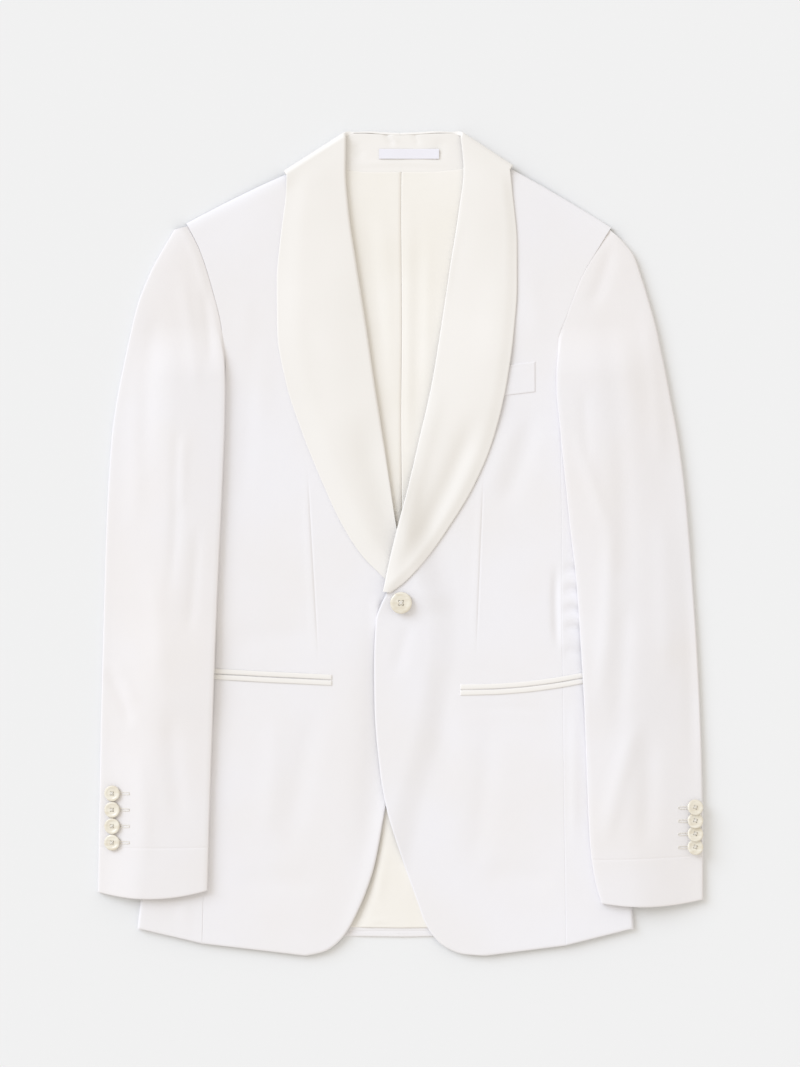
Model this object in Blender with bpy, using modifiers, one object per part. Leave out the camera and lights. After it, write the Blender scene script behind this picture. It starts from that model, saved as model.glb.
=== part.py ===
"""Shawl-collar tuxedo jacket, laid flat on its back with the front up.

Lengths in the tables are millimetres; everything is scaled to metres when a mesh is made.
x runs across the jacket, y from the hem (-) to the neck (+), z up from the surface it lies on.
Each piece of cloth is an open surface, its outer face, given a wall by a Solidify modifier.
The pieces lie on each other: back, lining, fronts, collar, sleeves.
"""
import math
from collections import namedtuple

import bmesh
import bpy
from mathutils import Matrix, Vector

MM = 0.001

# driving sizes, in millimetres
BACK_WALL = 2.0
LINING_WALL = 1.0
FRONT_WALL = 2.4
SIDE_WALL = 1.8
SLEEVE_WALL = 1.6
COLLAR_WALL = 1.6
JET_WALL = 1.0
WELT_WALL = 1.2
LABEL_WALL = 1.0
SEAM_GAP = 0.3
LAYER_GAP = 0.4
COLLAR_GAP = 1.3          # the collar stands a little off the front
SLEEVE_HEIGHT = 6.2       # flattened sleeve, both layers and the air between
NECK_LIFT = 2.0           # the collar's fall lies under the back at the neck
SHOULDER_DROP = 3.5       # the front rounds down to the shoulder seam
LAP_RISE = 3.2            # one front, or the end of a lapel, under the other front
BUTTON_WIDTH = 20.5
CUFF_BUTTON_WIDTH = 15.0

FRONT_LOW = BACK_WALL + LINING_WALL + 2 * LAYER_GAP
FRONT_TOP = FRONT_LOW + FRONT_WALL
SLEEVE_GROUND = FRONT_TOP + LAYER_GAP

Row = namedtuple("Row", "in_x in_y out_x out_y bow")
SideRow = namedtuple("SideRow", "top_y fold_y under_y")
SleeveRow = namedtuple("SleeveRow", "in_x in_y out_x out_y height bow")
Station = namedtuple("Station", "roll_x roll_y edge_x edge_y")

# x of the seam from front to side panel, and of the body's folded side edge, at heights y
SEAM_LEFT = ((128, -166.3), (75, -169.5), (20, -172.0), (-40, -175.0), (-100, -177.5), (-160, -179.5),
             (-220, -181.5), (-306, -184.0), (-381, -186.0))
SEAM_RIGHT = ((128, 150.0), (30, 152.0), (-85, 152.4), (-149, 153.0), (-260, 154.5), (-381, 156.0))
EDGE_LEFT = ((112, -212.0), (0, -205.0), (-100, -214.0), (-200, -228.0), (-336, -244.0), (-364, -247.0))
EDGE_RIGHT = ((112, 200.0), (0, 193.0), (-100, 200.0), (-200, 208.0), (-336, 218.0), (-364, 220.0))
UNDER_SEAM_LEFT = ((120, -160.0), (-370, -165.0))
UNDER_SEAM_RIGHT = ((120, 146.0), (-370, 156.0))
# x of the left front's edge, mostly hidden under the other front, and of the left roll line
LAP_EDGE = ((90, -20.0), (15, -5.0), (-40, 8.0), (-60, 19.0), (-110, 20.0), (-130, 16.0), (-180, 6.0),
            (-249, -13.0), (-308, -25.0), (-352, -42.0), (-389, -90.0))
ROLL_LEFT = ((382, -53.6), (310, -48.0), (205, -32.0), (99, -16.0), (12, -3.0), (-15, 4.0), (-48, 14.0))

# fronts: from the roll line or front edge to the armhole or side seam, shoulder first
FRONT_LEFT = (
    Row(-70.0, 361.0, -201.0, 299.7, 2.5), Row(-54.5, 330.0, -188.8, 276.0, 0),
    Row(-49.5, 290.0, -176.7, 239.0, 0), Row(-41.0, 240.0, -167.7, 201.0, 0),
    Row(-33.5, 190.0, -164.2, 163.5, 0), Row(-24.5, 130.0, -166.1, 130.0, 0),
    Row(-15.2, 70.0, -168.9, 85.0, 0), Row(-7.0, 15.0, -171.3, 35.0, 0), Row(0.5, -15.0, -173.2, -5.0, 0),
    Row(6.5, -40.0, -175.2, -45.0, 0), Row(19.0, -60.0, -176.8, -85.0, 0),
    Row(20.0, -95.0, -178.0, -115.0, 0), Row(16.0, -130.0, -179.1, -149.0, 0),
    Row(6.0, -180.0, -180.8, -200.0, 0), Row(-13.0, -249.0, -182.6, -260.0, 0),
    Row(-25.0, -308.0, -184.0, -306.0, 0), Row(-42.0, -352.0, -184.8, -336.0, 0),
    Row(-55.0, -373.0, -185.3, -354.0, 0), Row(-71.0, -385.0, -185.6, -367.0, 0),
    Row(-88.0, -389.0, -185.9, -377.5, 0))
FRONT_RIGHT = (
    Row(71.0, 368.0, 198.7, 296.0, 2.0), Row(61.0, 330.0, 189.6, 281.0, 0),
    Row(55.5, 290.0, 171.7, 250.5, 0), Row(48.0, 240.0, 157.7, 215.0, 0), Row(40.5, 190.0, 148.2, 185.0, 0),
    Row(29.6, 130.0, 149.8, 130.0, 0), Row(15.7, 70.0, 151.0, 85.0, 0), Row(1.8, 15.0, 151.8, 35.0, 0),
    Row(-4.6, -12.0, 152.0, 5.0, 0), Row(-9.5, -32.0, 152.1, -25.0, 0), Row(-12.0, -46.0, 152.2, -50.0, 0),
    Row(-18.0, -59.0, 152.2, -68.0, 0), Row(-22.5, -73.0, 152.3, -85.0, 0),
    Row(-24.3, -112.0, 152.6, -117.0, 0), Row(-24.0, -149.0, 152.9, -149.0, 0),
    Row(-18.0, -222.0, 153.8, -222.0, 0), Row(-13.0, -249.0, 154.2, -260.0, 0),
    Row(1.0, -295.0, 154.9, -300.0, 0), Row(16.0, -337.0, 155.3, -330.0, 0),
    Row(25.0, -361.0, 155.5, -348.0, 0), Row(40.0, -379.0, 155.7, -361.0, 0),
    Row(60.0, -387.5, 155.8, -370.0, 0), Row(80.0, -389.0, 155.85, -379.3, 0))
# backs: from the centre-back seam, neck first; linings likewise, to a centre pleat
BACK_LEFT = (
    Row(-0.15, 347.2, -68.0, 352.5, -3.0), Row(-0.15, 338.0, -110.0, 339.5, -3.0),
    Row(-0.15, 322.0, -151.0, 321.0, 0), Row(-0.15, 300.0, -196.0, 296.0, 0),
    Row(-0.15, 272.0, -186.5, 270.0, 0), Row(-0.15, 236.0, -176.2, 236.0, 0),
    Row(-0.15, 197.0, -167.0, 198.0, 0), Row(-0.15, 160.0, -164.0, 160.0, 0),
    Row(-0.15, 120.0, -159.85, 120.0, 0), Row(-0.15, 0.0, -161.1, 0.0, 0),
    Row(-0.15, -120.0, -162.3, -120.0, 0), Row(-0.15, -250.0, -163.6, -250.0, 0),
    Row(-0.15, -371.7, -164.85, -369.5, 0))
BACK_RIGHT = (
    Row(0.15, 347.2, 68.0, 353.0, -3.5), Row(0.15, 338.0, 106.0, 343.0, -3.0),
    Row(0.15, 322.0, 151.0, 318.5, 0), Row(0.15, 300.0, 194.5, 293.0, 0), Row(0.15, 272.0, 183.0, 270.0, 0),
    Row(0.15, 236.0, 166.5, 238.0, 0), Row(0.15, 197.0, 151.5, 197.0, 0), Row(0.15, 160.0, 146.3, 160.0, 0),
    Row(0.15, 120.0, 145.85, 120.0, 0), Row(0.15, 0.0, 148.3, 0.0, 0), Row(0.15, -120.0, 150.7, -120.0, 0),
    Row(0.15, -250.0, 153.4, -250.0, 0), Row(0.15, -371.7, 155.85, -369.5, 0))
LINING_LEFT = (
    Row(1.3, 347.2, -64.0, 351.5, -2.5), Row(1.3, 336.0, -106.0, 334.0, -3.0),
    Row(1.3, 318.0, -146.0, 317.0, 0), Row(1.3, 290.0, -180.0, 287.0, 0), Row(1.3, 236.0, -166.0, 236.0, 0),
    Row(1.3, 180.0, -158.0, 180.0, 0), Row(1.3, 100.0, -158.0, 100.0, 0), Row(1.3, -60.0, -158.0, -60.0, 0),
    Row(1.3, -220.0, -159.0, -220.0, 0), Row(1.3, -363.0, -160.0, -361.0, 0))
LINING_RIGHT = (
    Row(1.7, 347.2, 64.0, 352.0, -3.0), Row(1.7, 336.0, 102.0, 338.0, -3.0), Row(1.7, 318.0, 146.0, 314.0, 0),
    Row(1.7, 290.0, 177.0, 286.0, 0), Row(1.7, 236.0, 157.0, 238.0, 0), Row(1.7, 180.0, 142.0, 180.0, 0),
    Row(1.7, 100.0, 141.0, 100.0, 0), Row(1.7, -60.0, 144.0, -60.0, 0), Row(1.7, -220.0, 148.0, -220.0, 0),
    Row(1.7, -363.0, 151.0, -361.0, 0))
# side panels, from the armhole to the hem: y at the front seam, at the fold and at the back seam
SIDE = (SideRow(128, 112, 119), SideRow(98, 84, 92), SideRow(50, 42, 46), SideRow(0, -4, 0),
        SideRow(-60, -60, -60), SideRow(-120, -116, -120), SideRow(-180, -172, -178),
        SideRow(-240, -228, -236), SideRow(-300, -285, -294), SideRow(-345, -328, -336))
SIDE_LEFT = SIDE + (SideRow(-377.5, -364, -369.5),)
SIDE_RIGHT = SIDE + (SideRow(-379.3, -364, -369.5),)
# sleeves, from the sleeve head to the cuff: armhole seam or inner fold, outer fold, height of the section
SLEEVE_LEFT = (
    SleeveRow(-201.4, 297.0, -212.5, 293.5, 4.4, 0), SleeveRow(-195.0, 286.5, -221.0, 279.0, 5.6, 0),
    SleeveRow(-186.2, 266.0, -235.0, 253.0, 6.2, 0), SleeveRow(-176.3, 235.5, -247.5, 221.0, 6.2, 0),
    SleeveRow(-169.3, 206.0, -254.5, 192.0, 6.2, 0), SleeveRow(-167.0, 192.0, -257.5, 178.0, 6.2, 0),
    SleeveRow(-165.4, 178.0, -260.5, 164.0, 6.2, 0), SleeveRow(-164.3, 163.0, -263.5, 149.0, 6.2, 0),
    SleeveRow(-163.8, 145.0, -267.0, 130.0, 6.2, 0), SleeveRow(-164.2, 115.0, -270.7, 103.0, 6.2, 0),
    SleeveRow(-165.6, 75.0, -273.6, 66.0, 6.2, 0), SleeveRow(-168.0, 20.0, -276.2, 14.0, 6.2, 0),
    SleeveRow(-170.8, -40.0, -278.0, -44.0, 6.2, 0), SleeveRow(-173.2, -100.0, -279.7, -103.0, 6.2, 0),
    SleeveRow(-175.3, -160.0, -281.1, -161.0, 6.2, 0), SleeveRow(-177.5, -220.0, -282.3, -220.0, 6.2, 0),
    SleeveRow(-179.2, -275.0, -283.3, -275.0, 6.2, 0), SleeveRow(-180.0, -306.0, -283.8, -307.0, 6.2, -3),
    SleeveRow(-180.6, -327.0, -284.2, -329.0, 6.2, -7))
SLEEVE_RIGHT = (
    SleeveRow(199.1, 293.5, 208.5, 284.0, 4.4, 0), SleeveRow(189.7, 279.5, 220.0, 269.5, 5.6, 0),
    SleeveRow(179.2, 261.5, 226.5, 251.5, 6.2, 0), SleeveRow(167.5, 239.0, 233.5, 229.0, 6.2, 0),
    SleeveRow(155.6, 208.0, 242.0, 198.0, 6.2, 0), SleeveRow(151.5, 193.0, 245.5, 181.0, 6.2, 0),
    SleeveRow(148.6, 178.0, 249.0, 165.0, 6.2, 0), SleeveRow(146.8, 163.0, 252.0, 149.0, 6.2, 0),
    SleeveRow(146.7, 145.0, 255.6, 130.0, 6.2, 0), SleeveRow(149.2, 115.0, 260.8, 103.0, 6.2, 0),
    SleeveRow(153.2, 75.0, 266.6, 62.0, 6.2, 0), SleeveRow(158.8, 20.0, 271.4, 14.0, 6.2, 0),
    SleeveRow(165.6, -40.0, 275.6, -44.0, 6.2, 0), SleeveRow(169.6, -100.0, 279.6, -103.0, 6.2, 0),
    SleeveRow(173.0, -160.0, 282.4, -161.0, 6.2, 0), SleeveRow(175.3, -220.0, 284.4, -222.0, 6.2, 0),
    SleeveRow(178.2, -283.0, 285.2, -281.0, 6.2, 0), SleeveRow(183.3, -319.0, 285.2, -314.0, 6.2, -2),
    SleeveRow(189.0, -339.0, 285.2, -336.0, 6.2, -5))
# collar: the corner where it folds over the shoulder, stations down the front, the fall to the centre seam
CORNER_LEFT = Station(-53.6, 384.5, -109.5, 348.8)
CORNER_RIGHT = Station(60.0, 384.5, 106.5, 354.0)
LAPEL_LEFT = (
    Station(-51.0, 350.0, -107.5, 325.0), Station(-48.0, 310.0, -112.0, 290.0),
    Station(-41.0, 262.0, -116.0, 245.0), Station(-32.0, 205.0, -115.5, 198.0),
    Station(-24.0, 150.0, -107.5, 150.0), Station(-16.0, 98.7, -93.0, 105.0),
    Station(-9.5, 55.0, -75.0, 60.0), Station(-3.0, 12.0, -54.0, 15.0), Station(4.0, -15.0, -35.0, -14.0),
    Station(8.0, -29.0, -19.0, -30.0), Station(11.0, -40.0, -6.0, -43.0))
LAPEL_RIGHT = (
    Station(59.5, 350.0, 106.0, 325.0), Station(55.0, 310.0, 110.0, 280.0),
    Station(47.5, 262.0, 110.0, 240.0), Station(39.0, 205.0, 107.0, 198.0),
    Station(30.0, 150.0, 100.0, 148.0), Station(17.5, 95.0, 87.0, 95.0), Station(7.5, 52.0, 69.0, 52.0),
    Station(-3.0, 12.0, 46.0, 14.0), Station(-9.5, -15.0, 24.5, -16.0), Station(-13.5, -34.0, 4.0, -38.0),
    Station(-16.2, -46.5, -8.8, -47.6))
FALL_LEFT = (Station(-28.0, 386.3, -78.0, 339.5), Station(-14.0, 385.5, -40.0, 336.0),
             Station(-0.15, 385.0, -0.15, 336.0))
FALL_RIGHT = (Station(34.0, 386.5, 76.0, 341.0), Station(17.0, 385.7, 40.0, 336.0),
              Station(0.15, 385.0, 0.15, 336.0))
# how far each fold station slides back to meet the roll line behind the neck, from front to back
FOLD_SLIDES = (0.0, 1.0, 3.5, 7.5, 11.3)

# stand of the collar: x and the y of its seam and of its top edge
STAND = ((-60, 351.5, 368.0), (-55, 350.5, 376.5), (-48, 349.2, 382.0), (-36, 348.0, 382.4),
         (-18, 347.6, 381.6), (0, 347.9, 381.0), (18, 347.8, 381.6), (36, 348.2, 382.4), (48, 349.4, 382.6),
         (56, 350.4, 381.0), (61, 351.5, 375.0))
# pocket mouths: x and y along the middle line, from the inner end
MOUTH_LEFT = ((-64.0, -129.7), (-92.0, -128.3), (-120.0, -127.0), (-147.0, -125.5), (-174.0, -124.0),
              (-198.0, -122.5))
MOUTH_RIGHT = ((56.5, -139.0), (85.0, -138.3), (113.0, -136.5), (142.0, -133.0), (171.0, -128.0),
               (193.0, -123.5))
JET_WIDTH = 4.8
MOUTH_GAP = 0.7
WELT_CORNERS = ((42.0, 131.0), (127.0, 141.0), (127.0, 169.5), (42.0, 159.0))
LABEL_BOX = (-19.7, 36.7, 360.0, 369.4)
BUTTON_PLACE = (1.0, -57.0)
CUFF_LEFT_X, CUFF_LEFT_TOP, CUFF_LEFT_PITCH = -269.8, -235.9, 15.35
CUFF_RIGHT_X, CUFF_RIGHT_TOP, CUFF_RIGHT_PITCH = 277.0, -249.5, 12.4

LEFT_SIDE, RIGHT_SIDE = -1, 1
FRONT_COLUMNS = (0, 0.06, 0.12, 0.18, 0.24, 0.31, 0.4, 0.55, 0.7, 0.85, 1)
SHOULDER_STEPS = (0.0, 2.7, 5.3, 8.0)


# ---- small helpers ----

def smooth(t):
    t = min(1.0, max(0.0, t))
    return t * t * (3 - 2 * t)


def mix(a, b, t):
    return a + (b - a) * t


def at_height(table, y):
    """x from a table of (y, x) rows, highest y first, straight between rows"""
    if y >= table[0][0]:
        return table[0][1]
    for (high, x_high), (low, x_low) in zip(table, table[1:]):
        if y >= low:
            return mix(x_low, x_high, (y - low) / (high - low))
    return table[-1][1]


# ---- heights of the layers ----

def neck_lift(x, y):
    return NECK_LIFT * smooth((y - 235) / 100) * (1 - smooth((abs(x) - 112) / 75))


def back_top(x, y):
    return BACK_WALL + neck_lift(x, y)


def lining_top(x, y):
    return FRONT_LOW - LAYER_GAP + neck_lift(x, y)


def left_front_top(x, y):
    return FRONT_TOP + neck_lift(x, y)


def right_front_top(x, y):
    over_front = 1 - smooth((x - at_height(LAP_EDGE, y) - 6) / 29)
    over_lapel = smooth((y + 72) / 26) * (1 - smooth((x - at_height(ROLL_LEFT, y) - 5) / 38))
    return left_front_top(x, y) + LAP_RISE * (over_front + over_lapel)


def left_collar_top(x, y):
    return left_front_top(x, y) + COLLAR_GAP + COLLAR_WALL


def right_collar_top(x, y):
    over_welt = smooth((y - 85) / 45) * (1 - smooth((y - 172) / 45))
    return right_front_top(x, y) + COLLAR_GAP + COLLAR_WALL + 0.3 + 1.3 * over_welt


def on_body(y):
    """0 where the sleeve is sewn into the armhole, 1 where it lies on the body below the armhole"""
    return 1 - smooth((y - 155) / 50)


def sleeve_ground(side, x, y):
    edge_table, sleeve = (EDGE_LEFT, SLEEVE_LEFT) if side == LEFT_SIDE else (EDGE_RIGHT, SLEEVE_RIGHT)
    outline = [(row.out_y, row.out_x) for row in sleeve]
    edge = at_height(edge_table, y) - 2 * side
    outer = at_height(outline, y)
    fall = smooth((x - edge) / (outer - edge))
    over_pocket = 1.6 * smooth(1.4 - abs(y + 125) / 45)
    return (SLEEVE_GROUND + over_pocket) * on_body(y) * (1 - fall)


def sleeve_top(side, x, y):
    return sleeve_ground(side, x, y) + SLEEVE_HEIGHT


# ---- making objects ----

def material(name, colour, roughness, sheen=0.0):
    made = bpy.data.materials.new(name)
    made.use_nodes = True
    shader = made.node_tree.nodes["Principled BSDF"]
    shader.inputs["Base Color"].default_value = (*colour, 1.0)
    shader.inputs["Roughness"].default_value = roughness
    shader.inputs["Metallic"].default_value = 0.0
    shader.inputs["Sheen Weight"].default_value = sheen
    return made


def object_from(name, mesh, colour, roughness, sheen=0.0):
    mesh.materials.append(material(name, colour, roughness, sheen))
    made = bpy.data.objects.new(name, mesh)
    jacket.objects.link(made)
    return made


def cloth(name, grid, wall, colour, roughness, sheen=0.3, up_row=0, up_column=0):
    """open surface through a grid of points, its outer face, with a wall inwards

    up_row and up_column pick a face of the grid that looks up, which settles the surface's outer side
    """
    rows, columns = len(grid), len(grid[0])
    shape = bmesh.new()
    points = [[shape.verts.new(Vector(p) * MM) for p in row] for row in grid]
    faces = [shape.faces.new((points[r][c], points[r + 1][c], points[r + 1][c + 1], points[r][c + 1]))
             for r in range(rows - 1) for c in range(columns - 1)]
    shape.normal_update()
    if faces[up_row * (columns - 1) + up_column].normal.z < 0:
        bmesh.ops.reverse_faces(shape, faces=faces)
    mesh = bpy.data.meshes.new(name)
    shape.to_mesh(mesh)
    shape.free()
    mesh.shade_smooth()
    made = object_from(name, mesh, colour, roughness, sheen)
    wall_maker = made.modifiers.new("Wall", "SOLIDIFY")
    wall_maker.thickness = wall * MM
    wall_maker.offset = -1
    return made


WOOL = (0.90, 0.89, 0.90)
SATIN = (0.90, 0.87, 0.80)
SILK = (0.90, 0.86, 0.79)
HORN = (0.70, 0.63, 0.52)


# ---- flat panels ----

def panel_grid(rows, columns, height, drop_rows=0):
    """points over a panel: straight rows from inner to outer end, bowed by their bow

    with drop_rows, extra rows next to the first one round the panel down to its seam
    """
    lines = []
    first = rows[0]
    inward = Vector((first.out_y - first.in_y, first.in_x - first.out_x)).normalized()
    if inward.y > 0:
        inward = -inward
    if drop_rows:
        for step in SHOULDER_STEPS:
            shift = inward * step
            drop = SHOULDER_DROP * (1 - step / SHOULDER_STEPS[-1]) ** 2
            lines.append((Row(first.in_x + shift.x, first.in_y + shift.y, first.out_x + shift.x,
                              first.out_y + shift.y, first.bow), drop))
    else:
        lines.append((first, 0.0))
    lines += [(row, 0.0) for row in rows[1:]]
    grid = []
    for row, drop in lines:
        line = []
        for u in columns:
            x = mix(row.in_x, row.out_x, u)
            y = mix(row.in_y, row.out_y, u) + row.bow * 4 * u * (1 - u)
            line.append((x, y, height(x, y) - drop))
        grid.append(line)
    return grid


def even(count):
    return [i / count for i in range(count + 1)]


def make_body():
    cloth("back_left", panel_grid(BACK_LEFT, even(7), back_top), BACK_WALL, WOOL, 0.8)
    cloth("back_right", panel_grid(BACK_RIGHT, even(7), back_top), BACK_WALL, WOOL, 0.8)
    cloth("back_lining_left", panel_grid(LINING_LEFT, even(7), lining_top), LINING_WALL, SILK, 0.45)
    cloth("back_lining_right", panel_grid(LINING_RIGHT, even(7), lining_top), LINING_WALL, SILK, 0.45)
    cloth("front_left", panel_grid(FRONT_LEFT, FRONT_COLUMNS, left_front_top, 1), FRONT_WALL, WOOL, 0.8)
    cloth("front_right", panel_grid(FRONT_RIGHT, FRONT_COLUMNS, right_front_top, 1), FRONT_WALL, WOOL, 0.8)


# ---- side panels: over the top, round the fold and under ----

def side_grid(side, rows, seam, edge, under_seam):
    radius = FRONT_TOP / 2
    grid = []
    for row in rows:
        seam_x = at_height(seam, row.top_y) + side * SEAM_GAP
        fold_x = at_height(edge, row.fold_y) - side * radius
        under_x = at_height(under_seam, row.under_y) + side * SEAM_GAP / 2
        line = [(mix(seam_x, fold_x, t), mix(row.top_y, row.fold_y, t), FRONT_TOP) for t in even(3)]
        for turn in (45, 90, 135):
            angle = math.radians(turn)
            line.append((fold_x + side * radius * math.sin(angle), row.fold_y,
                         radius + radius * math.cos(angle)))
        line += [(mix(fold_x, under_x, t), mix(row.fold_y, row.under_y, t), 0.0) for t in even(3)]
        grid.append(line)
    return grid


def make_sides():
    for name, side, rows, seam, edge, under_seam in (
            ("side_panel_left", LEFT_SIDE, SIDE_LEFT, SEAM_LEFT, EDGE_LEFT, UNDER_SEAM_LEFT),
            ("side_panel_right", RIGHT_SIDE, SIDE_RIGHT, SEAM_RIGHT, EDGE_RIGHT, UNDER_SEAM_RIGHT)):
        cloth(name, side_grid(side, rows, seam, edge, under_seam), SIDE_WALL, WOOL, 0.8)


# ---- sleeves ----

FOLD_ANGLES = (-90, -45, 0, 45, 90)
FOLD_REACH = 3.0


def fold_point(angle, height):
    """distance in from the fold and height above the ground, from the lip below (-90) to the top (90)"""
    turn = math.radians(angle)
    return FOLD_REACH * (1 - math.cos(turn)), height / 2 * (1 + math.sin(turn))


def sleeve_section(row):
    """outer face of a top sleeve across one row: (distance from the inner fold, height above the ground)"""
    width = math.hypot(row.out_x - row.in_x, row.out_y - row.in_y)
    folded = on_body(row.in_y)
    section = []
    for i, angle in enumerate(FOLD_ANGLES):
        along, height = fold_point(angle, row.height)
        section.append((mix(0.25 + 1.1 * i, along, folded), mix(row.height, height, folded)))
    start, end = 4.6, width - 4.6
    if end - start > 8:
        section += [(mix(start, end, t), row.height) for t in even(8)]
    else:
        section += [(mix(4.5, width - 3.1, t), row.height) for t in even(8)]
    for angle in reversed(FOLD_ANGLES):
        along, height = fold_point(angle, row.height)
        section.append((width - along, height))
    return section, width


def place_section(row, side, section, width):
    line = []
    for along, height in section:
        u = along / width
        x = mix(row.in_x, row.out_x, u)
        y = mix(row.in_y, row.out_y, u) + row.bow * 4 * u * (1 - u)
        line.append((x, y, sleeve_ground(side, x, y) + height))
    return line


def top_sleeve_grid(rows, side):
    grid = []
    for row in rows:
        section, width = sleeve_section(row)
        grid.append(place_section(row, side, section, width))
    return grid


def under_sleeve_grid(rows, side):
    grid = []
    for row in rows[1:]:                  # it starts below the tip of the sleeve head
        width = math.hypot(row.out_x - row.in_x, row.out_y - row.in_y)
        start = LAYER_GAP + 3.9 * min(1.0, 1.5 * on_body(row.in_y))
        end = width - FOLD_REACH - LAYER_GAP - 0.8 - 3.5 * (SLEEVE_HEIGHT - row.height)
        section = [(mix(start, end, t), SLEEVE_WALL) for t in even(8)]
        grid.append(place_section(row, side, section, width))
    return grid


def make_sleeves():
    for name, rows, side in (("left", SLEEVE_LEFT, LEFT_SIDE), ("right", SLEEVE_RIGHT, RIGHT_SIDE)):
        cloth("top_sleeve_" + name, top_sleeve_grid(rows, side), SLEEVE_WALL, WOOL, 0.8,
              up_row=6, up_column=8)
        cloth("under_sleeve_" + name, under_sleeve_grid(rows, side), SLEEVE_WALL, WOOL, 0.8,
              up_row=5, up_column=3)


# ---- collar: one half from the end of the lapel round the neck to the centre-back seam ----

ROLL_REACH = 2.6
LAPEL_ROLL = 2.2          # half height of the roll on the front
NECK_ROLL = 2.5           # and behind the neck
FLAT_STEPS = (0.18, 0.38, 0.58, 0.79, 1.0)


def collar_line(roll, edge, normal, half, face_height):
    """points across the collar from its inner lip round the roll to its outer edge

    roll and edge are plan points, normal is the outer face's direction, face_height gives z at a plan point
    """
    across = Vector((edge[0] - roll[0], edge[1] - roll[1], 0))
    width = across.length
    across.normalize()
    line = []
    for angle in FOLD_ANGLES:
        turn = math.radians(angle)
        along = ROLL_REACH * (1 - math.cos(turn))
        depth = half * (1 - math.sin(turn))
        line.append((along, depth))
    line += [(mix(ROLL_REACH, width, t), 0.0) for t in FLAT_STEPS]
    points = []
    for along, depth in line:
        place = Vector((roll[0], roll[1], 0)) + across * along
        place.z = face_height(place.x, place.y)
        points.append(tuple(place - normal * depth))
    return points


def collar_grid(lapel, corner, fall, front_face):
    up = Vector((0, 0, 1))
    grid = [collar_line((s.roll_x, s.roll_y), (s.edge_x, s.edge_y), up, LAPEL_ROLL, front_face)
            for s in reversed(lapel)]
    along = Vector((corner.edge_x - corner.roll_x, corner.edge_y - corner.roll_y, 0)).normalized()
    outward = Vector((-along.y, along.x, 0))
    if outward.y < 0:
        outward = -outward
    radius = front_face(corner.roll_x, corner.roll_y - 10) / 2
    for i, slide in enumerate(FOLD_SLIDES):
        turn = math.radians(45 * i)
        normal = up * math.cos(turn) + outward * math.sin(turn)
        shift = outward * (radius * (math.sin(turn) - 1))
        roll = Vector((corner.roll_x, corner.roll_y, 0)) + shift - along * slide
        edge = Vector((corner.edge_x, corner.edge_y, 0)) + shift
        height = radius + radius * math.cos(turn)
        half = mix(LAPEL_ROLL, NECK_ROLL, i / 4)
        grid.append(collar_line(roll[:2], edge[:2], normal, half, lambda x, y, z=height: z))
    grid += [collar_line((s.roll_x, s.roll_y), (s.edge_x, s.edge_y), -up, NECK_ROLL, lambda x, y: 0.0)
             for s in fall]
    return grid


def make_collar():
    for name, lapel, corner, fall, face in (
            ("collar_left", LAPEL_LEFT, CORNER_LEFT, FALL_LEFT, left_collar_top),
            ("collar_right", LAPEL_RIGHT, CORNER_RIGHT, FALL_RIGHT, right_collar_top)):
        grid = collar_grid(lapel, corner, fall, face)
        cloth(name, grid, COLLAR_WALL, SATIN, 0.35, up_row=4, up_column=6)
    stand_top = 2 * NECK_ROLL
    stand = [[(x, mix(low, high, t), stand_top) for t in even(2)] for x, low, high in STAND]
    cloth("collar_stand", stand, 2.0, SATIN, 0.35)
    left, right, low, high = LABEL_BOX
    label_top = stand_top + SEAM_GAP + LABEL_WALL
    label = [[(x, y, label_top) for x in (left, right)] for y in (low, high)]
    cloth("neck_label", label, LABEL_WALL, WOOL, 0.7)


# ---- pockets ----

def make_pockets():
    for name, mouth, face, seam in (("left", MOUTH_LEFT, left_front_top, SEAM_LEFT),
                                    ("right", MOUTH_RIGHT, right_front_top, SEAM_RIGHT)):
        for edge, sign in (("upper", 1), ("lower", -1)):
            near, far = sign * MOUTH_GAP / 2, sign * (MOUTH_GAP / 2 + JET_WIDTH)
            jet = [[(x, y + mix(near, far, t), face(x, y) + SEAM_GAP + JET_WALL) for t in even(2)]
                   for x, y in mouth]
            cloth(f"pocket_jet_{edge}_{name}", jet, JET_WALL, SATIN, 0.35)
    low_left, low_right, high_right, high_left = WELT_CORNERS
    welt = []
    for t in even(6):
        x = mix(low_left[0], low_right[0], t)
        low, high = mix(low_left[1], low_right[1], t), mix(high_left[1], high_right[1], t)
        welt.append([(x, mix(low, high, u), right_front_top(x, mix(low, high, u)) + SEAM_GAP + WELT_WALL)
                     for u in even(2)])
    cloth("breast_welt", welt, WELT_WALL, WOOL, 0.8)


# ---- buttons ----

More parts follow.
